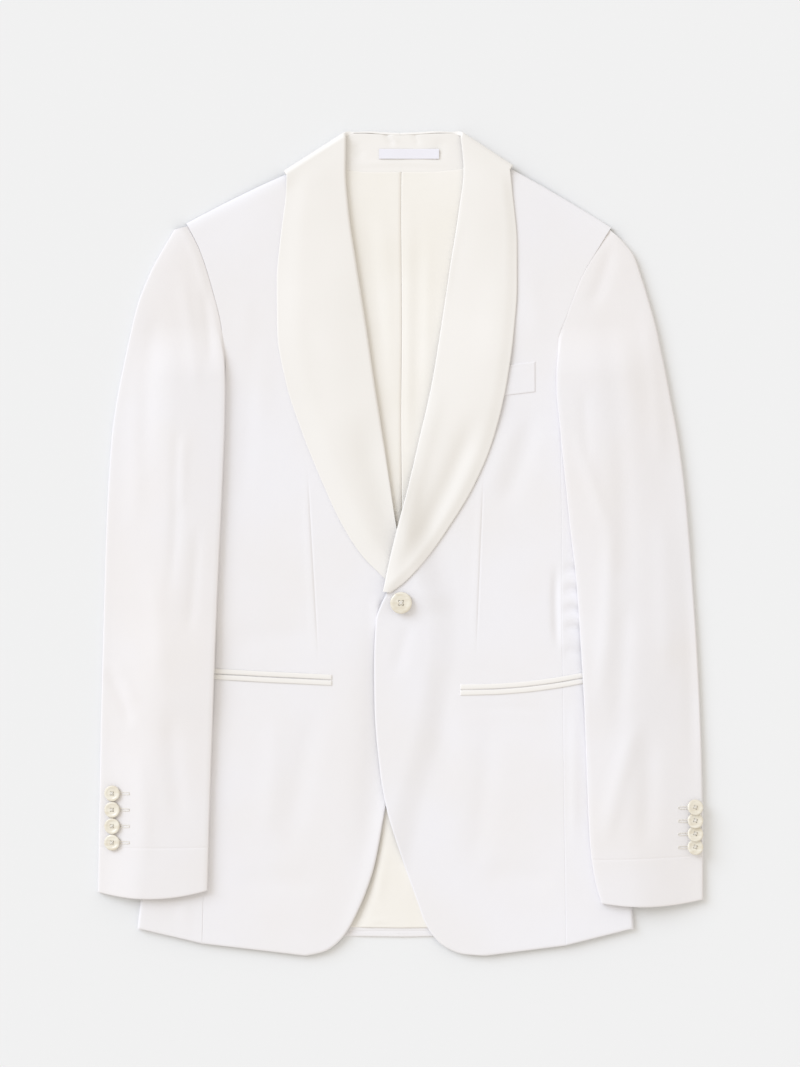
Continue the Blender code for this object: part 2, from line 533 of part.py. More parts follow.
def button_mesh(name, width, thickness, shank, holes):
    """turned four-hole button on a short shank of thread, standing on z = 0"""
    radius = width / 2
    rim, well = 0.78 * radius, 0.66 * radius
    profile = ((0, shank + 0.7 * thickness), (well, shank + 0.72 * thickness), (rim, shank + thickness),
               (0.92 * radius, shank + thickness), (radius, shank + 0.62 * thickness),
               (0.9 * radius, shank + 0.1), (0.8 * radius, shank), (0.3 * radius, shank), (0.26 * radius, 0),
               (0, 0))
    outline = bmesh.new()
    points = [outline.verts.new((r * MM, 0, z * MM)) for r, z in profile]
    for a, b in zip(points, points[1:]):
        outline.edges.new((a, b))
    line = bpy.data.meshes.new(name + "_profile")
    outline.to_mesh(line)
    outline.free()
    turned = bpy.data.objects.new(name + "_turned", line)
    guides.objects.link(turned)
    screw = turned.modifiers.new("Turn", "SCREW")
    screw.axis = "Z"
    screw.steps = screw.render_steps = 20
    screw.use_merge_vertices = True
    screw.merge_threshold = 0.00001
    cutter_shape = bmesh.new()
    for turn in (45, 135, 225, 315):
        angle = math.radians(turn)
        place = Vector((holes * math.cos(angle), holes * math.sin(angle), shank + thickness)) * MM
        bmesh.ops.create_cone(cutter_shape, cap_ends=True, segments=6, radius1=0.55 * MM, radius2=0.55 * MM,
                              depth=1.6 * MM, matrix=Matrix.Translation(place))
    cutter_mesh = bpy.data.meshes.new(name + "_holes")
    cutter_shape.to_mesh(cutter_mesh)
    cutter_shape.free()
    cutter = bpy.data.objects.new(name + "_holes", cutter_mesh)
    guides.objects.link(cutter)
    cut = turned.modifiers.new("Holes", "BOOLEAN")
    cut.operation = "DIFFERENCE"
    cut.object = cutter
    for guide in (turned, cutter):
        guide.hide_render = True
        guide.display_type = "WIRE"
    bpy.context.view_layer.update()
    made = bpy.data.meshes.new_from_object(turned.evaluated_get(bpy.context.evaluated_depsgraph_get()))
    made.name = name
    made.shade_smooth()
    made.set_sharp_from_angle(angle=math.radians(35))
    made.materials.clear()
    made.materials.append(material(name, HORN, 0.3))
    return made


def surface_normal(height, x, y, reach=5.0):
    slope_x = (height(x + reach, y) - height(x - reach, y)) / (2 * reach)
    slope_y = (height(x, y + reach) - height(x, y - reach)) / (2 * reach)
    return Vector((-slope_x, -slope_y, 1)).normalized()


def place_button(name, mesh, x, y, z, normal):
    made = bpy.data.objects.new(name, mesh)
    made.rotation_euler = normal.to_track_quat("Z", "Y").to_euler()
    made.location = Vector((x, y, z)) * MM
    jacket.objects.link(made)


def make_buttons():
    front = button_mesh("front_button_shape", BUTTON_WIDTH, 2.8, 1.4, 2.1)
    x, y = BUTTON_PLACE
    place_button("front_button", front, x, y, right_front_top(x, y) + 0.7, Vector((0, 0, 1)))
    cuff = button_mesh("cuff_button_shape", CUFF_BUTTON_WIDTH, 2.2, 1.0, 1.6)
    shingle = math.radians(13)
    for i in range(4):
        x, y = CUFF_LEFT_X, CUFF_LEFT_TOP - i * CUFF_LEFT_PITCH
        normal = surface_normal(lambda a, b: sleeve_top(LEFT_SIDE, a, b), x, y)
        place_button(f"cuff_button_left_{i + 1}", cuff, x, y, sleeve_top(LEFT_SIDE, x, y) + 0.6, normal)
    for i in range(4):
        x, y = CUFF_RIGHT_X, CUFF_RIGHT_TOP - i * CUFF_RIGHT_PITCH
        normal = surface_normal(lambda a, b: sleeve_top(RIGHT_SIDE, a, b), x, y)
        normal = (normal + Vector((0, math.tan(shingle), 0))).normalized()
        place_button(f"cuff_button_right_{i + 1}", cuff, x, y, sleeve_top(RIGHT_SIDE, x, y) + 1.3, normal)


# ---- the jacket ----

for leftover in list(bpy.data.objects):
    bpy.data.objects.remove(leftover, do_unlink=True)
jacket = bpy.data.collections.new("tuxedo_jacket")
guides = bpy.data.collections.new("cutters")
bpy.context.scene.collection.children.link(jacket)
bpy.context.scene.collection.children.link(guides)

make_body()
make_sides()
make_sleeves()
make_collar()
make_pockets()
make_buttons()
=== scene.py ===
import math

import bmesh
import bpy
import numpy as np
from mathutils import Matrix, Vector


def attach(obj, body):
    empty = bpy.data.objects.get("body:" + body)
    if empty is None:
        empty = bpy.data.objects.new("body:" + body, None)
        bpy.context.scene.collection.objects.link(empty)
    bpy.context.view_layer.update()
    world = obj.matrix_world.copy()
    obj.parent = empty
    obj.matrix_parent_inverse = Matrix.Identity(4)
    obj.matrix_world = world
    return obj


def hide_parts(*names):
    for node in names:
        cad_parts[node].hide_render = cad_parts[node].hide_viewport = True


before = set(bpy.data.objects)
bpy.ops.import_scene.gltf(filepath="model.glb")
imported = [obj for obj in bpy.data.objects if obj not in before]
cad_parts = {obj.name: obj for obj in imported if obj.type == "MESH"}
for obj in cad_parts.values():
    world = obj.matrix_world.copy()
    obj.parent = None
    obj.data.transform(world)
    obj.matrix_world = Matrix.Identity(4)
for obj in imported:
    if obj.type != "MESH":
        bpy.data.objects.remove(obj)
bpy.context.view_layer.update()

# A shawl-collar dinner jacket lying flat on its back: x across the jacket, y from the hem up to the neck,
# z up from the table. Lengths are metres, and millimetres in the tables of rows and creases.

layers = {
    "backWall": 0.002, "liningWall": 0.001, "frontWall": 0.0024, "sleeveWall": 0.0016, "collarWall": 0.0016,
    "layerGap": 0.0004, "sewnGap": 0.00002, "collarGap": 0.0013,
    "sleeveHeight": 0.0062,      # flattened sleeve, both layers and the air between
    "neckLift": 0.002,           # the collar's fall lies under the back here
    "lapRise": 0.0032,           # one front over the other
    "pocketRise": 0.0016,        # a sleeve over the pocket's jets
    "weltRise": 0.0013,          # a lapel over the breast welt
}
shells = {"back": 0.0016, "lining": 0.0008, "front": 0.0018, "side": 0.0016, "top": 0.0014, "under": 0.0013}
spacings = {"back": 0.005, "lining": 0.0038, "front": 0.0034, "side": 0.0032, "top": 0.0034, "under": 0.007,
            "lapel": 0.0034, "fall": 0.005}
frontLow = layers["backWall"] + layers["liningWall"] + 2 * layers["layerGap"]
frontTop = frontLow + layers["frontWall"]
sleeveFloor = frontTop + layers["layerGap"]


# small helpers

def inMetres(rows):
    return (np.array(rows) / 1000).tolist()


def mix(a, b, t):
    return a + (b - a) * t


def smoothStep(t):
    t = np.clip(t, 0.0, 1.0)
    return t * t * (3 - 2 * t)


def fitCurve(knots, values, at):
    # smooth curve through rows of values that never swings past them
    values = np.asarray(values, dtype=float)
    step = np.diff(knots)[:, None]
    slope = np.diff(values, axis=0) / step
    tangent = np.zeros_like(values)
    tangent[0], tangent[-1] = slope[0], slope[-1]
    before, after = slope[:-1], slope[1:]
    sameWay = before * after > 0
    w1, w2 = 2 * step[1:] + step[:-1], step[1:] + 2 * step[:-1]
    safeBefore, safeAfter = np.where(sameWay, before, 1.0), np.where(sameWay, after, 1.0)
    tangent[1:-1] = np.where(sameWay, (w1 + w2) / (w1 / safeBefore + w2 / safeAfter), 0.0)
    span = np.clip(np.searchsorted(knots, at, side="right") - 1, 0, len(knots) - 2)
    h = step[span]
    t = ((at - knots[span])[:, None]) / h
    a, b = values[span], values[span + 1]
    ta, tb = tangent[span] * h, tangent[span + 1] * h
    return ((2 * t**3 - 3 * t**2 + 1) * a + (t**3 - 2 * t**2 + t) * ta
            + (3 * t**2 - 2 * t**3) * b + (t**3 - t**2) * tb)


def curveAt(table, y):
    # x at height y, from (y, x) rows with the highest first
    rows = np.array(table)[::-1]
    flat = np.clip(np.ravel(y), rows[0, 0], rows[-1, 0])
    return fitCurve(rows[:, 0], rows[:, 1:2], flat)[:, 0].reshape(np.shape(y))


def creaseHeight(x, y, creases):
    # soft troughs (-) and ridges (+): start, end, half width, height, sideways bend
    total = np.zeros_like(x)
    for x0, y0, x1, y1, width, height, bend in inMetres(creases):
        length = math.hypot(x1 - x0, y1 - y0)
        ux, uy = (x1 - x0) / length, (y1 - y0) / length
        along = ((x - x0) * ux + (y - y0) * uy) / length
        across = (y - y0) * ux - (x - x0) * uy - bend * 4 * along * (1 - along)
        fade = smoothStep(along / 0.3) * smoothStep((1 - along) / 0.3)
        total += height * fade * np.exp(-(across / width) ** 2)
    return total


def ripple(x, y, size, height):
    # faint unevenness of cloth that was smoothed by hand
    return height * (np.sin(x / size + 1.7 * np.sin(y / size * 0.61)) * np.sin(y / size * 0.83 + 0.9)
                     + 0.5 * np.sin((x + y) / size * 1.9 + 2.0) * np.sin((x - y) / size * 1.3))


def roundedEdge(distance, reach, depth):
    t = np.clip(1 - distance / reach, 0.0, 1.0)
    return depth * (1 - np.sqrt(np.maximum(0.0, 1 - t * t)))


fineSteps = np.array([0.0, 0.0004, 0.0009, 0.0015, 0.0023, 0.0034, 0.005])
seamSteps = np.array([-0.0022, -0.0013, -0.0007, -0.0003, 0.0, 0.0003, 0.0007, 0.0013, 0.0022])


def stepsOver(length, spacing, seams=()):
    # places along a length, close together at both ends and beside each seam
    close = fineSteps * min(1.0, length / (2.4 * fineSteps[-1]))
    parts = [close] + [seam + seamSteps for seam in sorted(seams)] + [(length - close)[::-1]]
    places = [parts[0]]
    for last, following in zip(parts, parts[1:]):
        count = max(1, math.ceil((following[0] - last[-1]) / spacing))
        places += [mix(last[-1], following[0], np.arange(1, count) / count), following]
    return np.concatenate(places)


def acrossSteps(widths, spacing, seamAt=None):
    # the same across each row, with the same number of places in every row
    parts = []
    scale = np.minimum(1.0, widths / (2.4 * fineSteps[-1]))[:, None]
    near, far = fineSteps * scale, widths[:, None] - (fineSteps * scale)[:, ::-1]
    stops = [near] + ([seamAt[:, None] + seamSteps] if seamAt is not None else []) + [far]
    for last, following in zip(stops, stops[1:]):
        a, b = last[:, -1:], following[:, :1]
        many = max(2, math.ceil(float((b - a).max()) / spacing))
        parts += [last, mix(a, b, np.arange(1, many) / many)]
    return np.concatenate(parts + [far], axis=1)


def denseRows(rows, spacing, seamsFromEnd=()):
    # rows of a table, first four numbers the two ends' x and y, refined down the piece
    table = np.array(rows, dtype=float)
    jumps = 0.5 * (np.hypot(*np.diff(table[:, 0:2], axis=0).T) + np.hypot(*np.diff(table[:, 2:4], axis=0).T))
    knots = np.concatenate([[0.0], np.cumsum(jumps)])
    at = stepsOver(knots[-1], spacing, [knots[-1] - seam for seam in seamsFromEnd])
    return fitCurve(knots, table, at), at


def distanceTo(x, y, edgeX, edgeY):
    # plan distance from every point to an edge
    dx, dy = np.diff(edgeX), np.diff(edgeY)
    fromX, fromY = x.ravel()[:, None] - edgeX[:-1], y.ravel()[:, None] - edgeY[:-1]
    t = np.clip((fromX * dx + fromY * dy) / np.maximum(dx * dx + dy * dy, 1e-12), 0, 1)
    return np.sqrt(((fromX - t * dx) ** 2 + (fromY - t * dy) ** 2).min(axis=1)).reshape(x.shape)


def panelPlan(rows, spacing, dart=None, seamsFromEnd=()):
    # plan points over a panel and each point's distance from its four edges; columns close up along a dart
    table, down = denseRows(rows, spacing, seamsFromEnd)
    widths = np.hypot(table[:, 2] - table[:, 0], table[:, 3] - table[:, 1])
    seamAt = None
    if dart is not None:
        u = np.full(len(widths), 0.4)
        for _ in range(4):
            u = (curveAt(dart, mix(table[:, 1], table[:, 3], u)) - table[:, 0]) / (table[:, 2] - table[:, 0])
        seamAt = np.clip(u, 0.14, 0.86) * widths
    across = acrossSteps(widths, spacing, seamAt)
    u = across / widths[:, None]
    x = mix(table[:, 0:1], table[:, 2:3], u)
    y = mix(table[:, 1:2], table[:, 3:4], u) + table[:, 4:5] * 4 * u * (1 - u)
    lines = {"inner": np.s_[:, 0], "outer": np.s_[:, -1], "first": np.s_[0, :], "last": np.s_[-1, :]}
    return x, y, {side: distanceTo(x, y, x[line], y[line]) for side, line in lines.items()}


def rollEdges(distances, edges):
    # edges: each rolled side's reach and depth
    return np.max([roundedEdge(distances[side], *roll) for side, roll in edges.items()], axis=0)


def seamXAt(line, y):
    # x of a neighbour's sewn edge, line being that edge's points from the top down
    return np.interp(y, line[1][::-1], line[0][::-1])


# heights of the layers. A climb on to another piece is where it starts and how long it is

climbs = {"neck": (0.235, 0.1), "neckSides": (0.112, 0.075), "lap": (0.006, 0.029),
          "lapelEnd": (-0.072, 0.026), "lapel": (0.005, 0.038), "armhole": (0.155, 0.05),
          "weltLow": (0.085, 0.045), "weltHigh": (0.172, 0.045)}


def climb(name, place):
    start, length = climbs[name]
    return smoothStep((place - start) / length)


def neckLift(x, y):
    return layers["neckLift"] * climb("neck", y) * (1 - climb("neckSides", np.abs(x)))


def backTop(x, y):
    return layers["backWall"] + neckLift(x, y)


def liningTop(x, y):
    return frontLow - layers["layerGap"] + neckLift(x, y)


def leftFrontTop(x, y):
    return frontTop + neckLift(x, y)


def rightFrontTop(x, y):
    overFront = 1 - climb("lap", x - curveAt(lapEdge, y))
    overLapel = climb("lapelEnd", y) * (1 - climb("lapel", x - curveAt(rollLeft, y)))
    return leftFrontTop(x, y) + layers["lapRise"] * (overFront + overLapel)


def onBody(y):
    # 0 where the sleeve is sewn into the armhole, 1 where it lies on the body
    return 1 - climb("armhole", y)


def sleeveGround(side, x, y):
    edge, rows = (edgeLeft, sleeveLeftRows) if side < 0 else (edgeRight, sleeveRightRows)
    edgeX = curveAt(edge, y) - 0.002 * side
    outerX = curveAt([(row[3], row[2]) for row in rows], y)
    fall = smoothStep((x - edgeX) / (outerX - edgeX))
    overPocket = layers["pocketRise"] * smoothStep(1.4 - np.abs(y + 0.125) / 0.045)
    return (sleeveFloor + overPocket) * onBody(y) * (1 - fall)


# making pieces

def meshFrom(name, points, faces, upFace):
    mesh = bpy.data.meshes.new(name)
    mesh.from_pydata([tuple(p) for p in points], [], faces)
    mesh.update()
    if mesh.polygons[upFace].normal.z < 0:
        mesh.flip_normals()
    mesh.shade_smooth()
    return mesh


def place(name, mesh, surface, slot, nodes=()):
    made = bpy.data.objects.new(name, mesh)
    bpy.context.scene.collection.objects.link(made)
    made.data.materials.append(surface)
    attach(made, "root")
    if nodes:
        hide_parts(*nodes)
    return made


def gridFaces(rows, columns):
    corner = (np.arange(rows - 1)[:, None] * columns + np.arange(columns - 1)).ravel()
    return np.stack([corner, corner + columns, corner + columns + 1, corner + 1], axis=1)


def layCloth(name, x, y, z, wall, surface, slot, nodes, up=(0.5, 0.5)):
    # a sheet through a grid of points, its outer face, with the wall inwards; up is a place that faces up
    rows, columns = x.shape
    points = np.stack([x, y, z], axis=-1).reshape(-1, 3)
    upFace = int(up[0] * (rows - 2)) * (columns - 1) + int(up[1] * (columns - 2))
    mesh = meshFrom(name, points, gridFaces(rows, columns).tolist(), upFace)
    made = place(name, mesh, surface, slot, nodes)
    wallMaker = made.modifiers.new("wall", "SOLIDIFY")
    wallMaker.thickness = wall
    wallMaker.offset = -1
    return made


def layPanel(name, x, y, z, wall, surface, slot, nodes):
    # a flat piece: the grid, the same grid a wall's thickness below, and the cut edge round both
    rows, columns = x.shape
    top = np.stack([x, y, z], axis=-1).reshape(-1, 3)
    points = np.concatenate([top, np.maximum(top - (0, 0, wall), (-1, -1, 0))])
    faces = gridFaces(rows, columns)
    index = np.arange(rows * columns).reshape(rows, columns)
    rim = np.concatenate([index[:, 0], index[-1, 1:], index[-2::-1, -1], index[0, -2::-1]])
    edge = np.stack([rim[1:], rim[:-1], rim[:-1] + len(top), rim[1:] + len(top)], axis=1)
    everyFace = np.concatenate([faces, faces[:, ::-1] + len(top), edge]).tolist()
    mesh = meshFrom(name, points, everyFace, (rows // 2) * (columns - 1) + columns // 2)
    made = place(name, mesh, surface, slot, nodes)
    made.data.set_sharp_from_angle(angle=math.radians(70))
    return made


# finishes

def feed(tree, node, inputs):
    # each input gets a value, or a link from a (node, socket) pair
    for socket, value in inputs.items():
        if isinstance(value, tuple) and isinstance(value[0], bpy.types.Node):
            tree.links.new(value[0].outputs[value[1]], node.inputs[socket])
        else:
            node.inputs[socket].default_value = value


def addNode(tree, kind, inputs, **settings):
    node = tree.nodes.new("ShaderNode" + kind)
    for name, value in settings.items():
        setattr(node, name, value)
    feed(tree, node, inputs)
    return node


def mathNode(tree, operation, *values):
    return addNode(tree, "Math", dict(enumerate(values)), operation=operation)


def makeGroup(name, inputs, outputs):
    # an input given no value is a vector
    kinds = {type(None): "NodeSocketVector", float: "NodeSocketFloat", tuple: "NodeSocketColor"}
    group = bpy.data.node_groups.new(name, "ShaderNodeTree")
    for socketName, value in inputs.items():
        socket = group.interface.new_socket(name=socketName, in_out="INPUT", socket_type=kinds[type(value)])
        if value is not None:
            socket.default_value = value
    for socketName, kind in outputs.items():
        group.interface.new_socket(name=socketName, in_out="OUTPUT", socket_type=kind)
    return group, group.nodes.new("NodeGroupInput"), group.nodes.new("NodeGroupOutput")


def makeWeaveGroup():
    # threads side by side, each passing over a few of the crossing ones; slant turns them into a twill
    group, given, result = makeGroup(
        "clothWeave",
        {"Vector": None, "Thread Pitch": 0.0006, "Float Length": 0.002, "Slant": 0.8, "Unevenness": 0.3},
        {"Height": "NodeSocketFloat", "Slub": "NodeSocketFloat"})
    turn = addNode(group, "VectorRotate", {"Vector": (given, "Vector"), "Angle": (given, "Slant")},
                   rotation_type="Z_AXIS")
    split = addNode(group, "SeparateXYZ", {"Vector": (turn, "Vector")})
    slub = addNode(group, "TexNoise", {"Vector": (given, "Vector"), "Scale": 260.0, "Detail": 2.0})
    drift = mathNode(group, "MULTIPLY", (slub, "Fac"), (given, "Unevenness"))
    across = mathNode(group, "DIVIDE", (split, "X"), (given, "Thread Pitch"))
    across = mathNode(group, "ADD", (across, 0), (drift, 0))
    along = mathNode(group, "DIVIDE", (split, "Y"), (given, "Float Length"))
    along = mathNode(group, "ADD", (along, 0), (across, 0))
    threads = mathNode(group, "SINE", (mathNode(group, "MULTIPLY", (across, 0), math.tau), 0))
    floats = mathNode(group, "SINE", (mathNode(group, "MULTIPLY", (along, 0), math.tau), 0))
    threads = mathNode(group, "MULTIPLY_ADD", (threads, 0), 0.35, 0.5)
    height = mathNode(group, "MULTIPLY_ADD", (floats, 0), 0.15, (threads, 0))
    feed(group, result, {"Height": (height, 0), "Slub": (slub, "Fac")})
    return group


def makeToneGroup():
    # broad patches of a lighter and a deeper tone, with painted shade from the weave on top: darker in the
    # threads' dips, lighter on their tops
    group, given, result = makeGroup(
        "tonePatchesWeaveShade",
        {"Vector": None, "Light": (1, 1, 1, 1), "Deep": (0.8, 0.8, 0.8, 1), "Patches": 9.0, "Weave": 0.5},
        {"Color": "NodeSocketColor", "Patch": "NodeSocketFloat"})
    patch = addNode(group, "TexNoise", {
        "Vector": (given, "Vector"), "Scale": (given, "Patches"), "Detail": 3.0})
    spread = addNode(group, "MapRange", {"Value": (patch, "Fac"), "From Min": 0.3, "From Max": 0.7},
                     interpolation_type="SMOOTHSTEP")
    blend = addNode(group, "Mix", {0: (spread, "Result"), 6: (given, "Deep"), 7: (given, "Light")},
                    data_type="RGBA")
    # painted shade: the colour follows the weave's height
    shade = mathNode(group, "MULTIPLY_ADD", (given, "Weave"), 0.06, 0.97)
    weaveShaded = addNode(group, "Mix", {0: 1.0, 6: (blend, 2), 7: (shade, 0)},
                   data_type="RGBA", blend_type="MULTIPLY")
    feed(group, result, {"Color": (weaveShaded, 2), "Patch": (spread, "Result")})
    return group


weaveGroup = makeWeaveGroup()
toneGroup = makeToneGroup()


def newSurface(name):
    surface = bpy.data.materials.new(name)
    surface.use_nodes = True
    tree = surface.node_tree
    return surface, tree, tree.nodes["Principled BSDF"]


def clothFinish(name, finish):
    surface, tree, shader = newSurface(name)
    coord = addNode(tree, "TexCoord", {})
    pitch, floatLength, slant, unevenness = finish["weave"]
    weave = addNode(tree, "Group", {
        "Vector": (coord, "Object"), "Thread Pitch": pitch, "Float Length": floatLength, "Slant": slant,
        "Unevenness": unevenness}, node_tree=weaveGroup)
    # the tone takes the weave's height and paints shade between the threads
    tone = addNode(tree, "Group", {
        "Vector": (coord, "Object"), "Light": (*finish["light"], 1), "Deep": (*finish["deep"], 1),
        "Patches": finish["patches"], "Weave": (weave, "Height")}, node_tree=toneGroup)
    gloss = addNode(tree, "MapRange", {"Value": (weave, "Slub"), "To Min": finish["roughness"] + 0.05,
                                       "To Max": finish["roughness"] - 0.05})
    bump = addNode(tree, "Bump", {
        "Strength": finish["relief"], "Distance": 0.0002, "Height": (weave, "Height")})
    feed(tree, shader, {
        "Base Color": (tone, "Color"), "Roughness": (gloss, "Result"), "Normal": (bump, "Normal"),
        "Sheen Weight": finish["sheen"], "Sheen Roughness": 0.5, "Specular IOR Level": finish["shine"]})
    return surface


# a weave is its thread pitch, the length of a float, slant and unevenness
wool = {"weave": (0.0007, 0.0028, 0.8, 0.5), "light": (0.82, 0.805, 0.826), "deep": (0.81, 0.787, 0.787),
        "patches": 7.0, "roughness": 0.86, "relief": 0.35, "sheen": 0.12, "shine": 0.25}
woolCloth = clothFinish("whiteWool", wool)
# the same wool painted darker and warmer for the sleeves: painted shade for sleeves that slope away from the
# key light
shadedSleeveWool = clothFinish("whiteWoolPaintedShadeSleeve", {
    **wool, "light": (0.805, 0.785, 0.795), "deep": (0.80, 0.768, 0.757), "patches": 6.0})
satinCloth = clothFinish("ivorySatin", {
    "weave": (0.00035, 0.005, 1.57, 0.9), "light": (0.845, 0.818, 0.788), "deep": (0.805, 0.777, 0.740),
    "patches": 5.0, "roughness": 0.4, "relief": 0.12, "sheen": 0.05, "shine": 0.5})
liningCloth = clothFinish("ivoryLining", {
    "weave": (0.0004, 0.0012, 0.0, 0.4), "light": (0.85, 0.82, 0.775), "deep": (0.825, 0.79, 0.73),
    "patches": 8.0, "roughness": 0.5, "relief": 0.15, "sheen": 0.03, "shine": 0.4})
labelCloth = clothFinish("bareLabel", {
    "weave": (0.0004, 0.0009, 0.0, 0.3), "light": (0.82, 0.81, 0.86), "deep": (0.81, 0.795, 0.845),
    "patches": 30.0, "roughness": 0.7, "relief": 0.3, "sheen": 0.05, "shine": 0.3})
threadCloth = clothFinish("sewingThread", {
    "weave": (0.00045, 0.0009, 0.7, 0.2), "light": (0.86, 0.83, 0.78), "deep": (0.8, 0.76, 0.69),
    "patches": 60.0, "roughness": 0.6, "relief": 0.5, "sheen": 0.1, "shine": 0.35})


def buttonFinish():
    # polished horn look: cloudy bands under a clear gloss
    surface, tree, shader = newSurface("ivoryHorn")
    coord = addNode(tree, "TexCoord", {})
    stretch = addNode(tree, "Mapping", {
        "Vector": (coord, "Object"), "Scale": (1.0, 3.2, 1.0), "Rotation": (0, 0, 0.5)})
    tone = addNode(tree, "Group", {
        "Vector": (stretch, "Vector"), "Light": (0.80, 0.755, 0.655, 1), "Deep": (0.70, 0.635, 0.515, 1),
        "Patches": 95.0}, node_tree=toneGroup)
    polish = addNode(tree, "MapRange", {"Value": (tone, "Patch"), "To Min": 0.3, "To Max": 0.2})
    feed(tree, shader, {"Base Color": (tone, "Color"), "Roughness": (polish, "Result"), "Coat Weight": 0.5,
                        "Coat Roughness": 0.15})
    return surface


buttonHorn = buttonFinish()
print("finishes made")


# body: back, lining and fronts. A row of a table is inner x, y, outer x, y and how far it bows

lapEdge = inMetres([
    (90, -20), (15, -5), (-40, 8), (-60, 19), (-110, 20), (-130, 16), (-180, 6), (-249, -13), (-308, -25),
    (-352, -42), (-389, -90)])
rollLeft = inMetres([(382, -53.6), (310, -48), (205, -32), (99, -16), (12, -3), (-15, 4), (-48, 14)])
backLeftRows = inMetres([
    (-0.15, 347.2, -68, 352.5, -3), (-0.15, 338, -110, 339.5, -3), (-0.15, 322, -151, 321, 0),
    (-0.15, 300, -196, 296, 0), (-0.15, 272, -186.5, 270, 0), (-0.15, 236, -176.2, 236, 0),
    (-0.15, 197, -167, 198, 0), (-0.15, 160, -164, 160, 0), (-0.15, 120, -159.85, 120, 0),
    (-0.15, 0, -161.1, 0, 0), (-0.15, -120, -162.3, -120, 0), (-0.15, -250, -163.6, -250, 0),
    (-0.15, -371.7, -164.85, -369.5, 0)])
backRightRows = inMetres([
    (0.15, 347.2, 68, 353, -3.5), (0.15, 338, 106, 343, -3), (0.15, 322, 151, 318.5, 0),
    (0.15, 300, 194.5, 293, 0), (0.15, 272, 183, 270, 0), (0.15, 236, 166.5, 238, 0),
    (0.15, 197, 151.5, 197, 0), (0.15, 160, 146.3, 160, 0), (0.15, 120, 145.85, 120, 0),
    (0.15, 0, 148.3, 0, 0), (0.15, -120, 150.7, -120, 0), (0.15, -250, 153.4, -250, 0),
    (0.15, -371.7, 155.85, -369.5, 0)])
backs = {
    "backLeft": {"rows": backLeftRows, "nodes": ["back_left"], "flat": (0.2, 0.735), "area": 0.12},
    "backRight": {"rows": backRightRows, "nodes": ["back_right"], "flat": (0.2, 0.735), "area": 0.12},
}
backFinish = {
    "creases": [(-100, -366.2, 100, -366.2, 0.6, -0.3, 0),       # hem's stitching
                (-12, -235, -60, -395, 7, -1.2, 7)],             # hollow by the front's edge
    "edges": {"last": (0.0015, 0.0007), "first": (0.001, 0.0003), "inner": (0.0005, 0.00004)}}

for name, facts in backs.items():
    x, y, distances = panelPlan(facts["rows"], spacings["back"], seamsFromEnd=[0.0055])
    x = x - x[:, :1] * (1 - smoothStep(distances["inner"] / 0.01))
    z = backTop(x, y) + creaseHeight(x, y, backFinish["creases"]) - rollEdges(distances, backFinish["edges"])
    facts["piece"] = layPanel(name, x, y, z, shells["back"], woolCloth, "wool", facts["nodes"])
print("back laid")

liningLeftRows = inMetres([
    (1.3, 347.2, -64, 351.5, -2.5), (1.3, 336, -106, 334, -3), (1.3, 318, -146, 317, 0),
    (1.3, 290, -180, 287, 0), (1.3, 236, -166, 236, 0), (1.3, 180, -158, 180, 0), (1.3, 100, -158, 100, 0),
    (1.3, -60, -158, -60, 0), (1.3, -220, -159, -220, 0), (1.3, -363, -160, -361, 0)])
liningRightRows = inMetres([
    (1.7, 347.2, 64, 352, -3), (1.7, 336, 102, 338, -3), (1.7, 318, 146, 314, 0), (1.7, 290, 177, 286, 0),
    (1.7, 236, 157, 238, 0), (1.7, 180, 142, 180, 0), (1.7, 100, 141, 100, 0), (1.7, -60, 144, -60, 0),
    (1.7, -220, 148, -220, 0), (1.7, -363, 151, -361, 0)])
liningCreases = [
    (-20, 335, -6, 115, 5, 0.4, 2), (-34, 330, -14, 150, 4, -0.4, 0), (-12, -262, -21, -345, 5, 0.8, -2),
    (-30, -358.5, -2, -355.5, 1.2, 0.5, 0), (-12, -235, -60, -395, 7, -2.4, 7),
    (8.5, 340, 7.5, 40, 3.5, 0.6, 0), (18, 330, 14, 90, 5, -0.3, 2), (27, 300, 24, 120, 4, 0.4, 0),
    (6, -250, 12, -345, 6, 0.5, 0)]
liningEdges = {"first": (0.0012, 0.0004), "last": (0.0012, 0.0005)}
linings = {
    "liningLeft": {
        "rows": liningLeftRows, "nodes": ["back_lining_left"], "flat": (0.182, 0.72), "area": 0.11,
        "pleat": (0.0034, 0.0017)},
    "liningRight": {
        "rows": liningRightRows, "nodes": ["back_lining_right"], "flat": (0.176, 0.72), "area": 0.105,
        "pleat": (0.0014, 0.0006)},
}
standRows = inMetres([
    (-60, 351.5, 368), (-55, 350.5, 376.5), (-48, 349.2, 382), (-36, 348, 382.4), (-18, 347.6, 381.6),
    (0, 347.9, 381), (18, 347.8, 381.6), (36, 348.2, 382.4), (48, 349.4, 382.6), (56, 350.4, 381),
    (61, 351.5, 375)])
neckSeam = np.array(standRows)
for name, facts in linings.items():
    x, y, distances = panelPlan(facts["rows"], spacings["lining"])
    byNeck, byPleat = 1 - smoothStep(distances["first"] / 0.012), 1 - smoothStep(distances["inner"] / 0.02)
    y = y + (np.interp(x[:1], neckSeam[:, 0], neckSeam[:, 1]) - y[:1]) * byNeck
    x = x + (0.0004 * np.sin(y / 0.031 + 1) + 0.0015 - x[:, :1]) * byPleat
    z = liningTop(x, y) + creaseHeight(x, y, liningCreases) + ripple(x, y, 0.03, 0.00012)
    pleat = roundedEdge(distances["inner"], *facts["pleat"]) * smoothStep((y + 0.1) / 0.1)  # shut at the hem
    z -= np.maximum(rollEdges(distances, liningEdges), pleat)
    facts["piece"] = layPanel(name, x, y, z, shells["lining"], liningCloth, "lining", facts["nodes"])
print("lining laid")

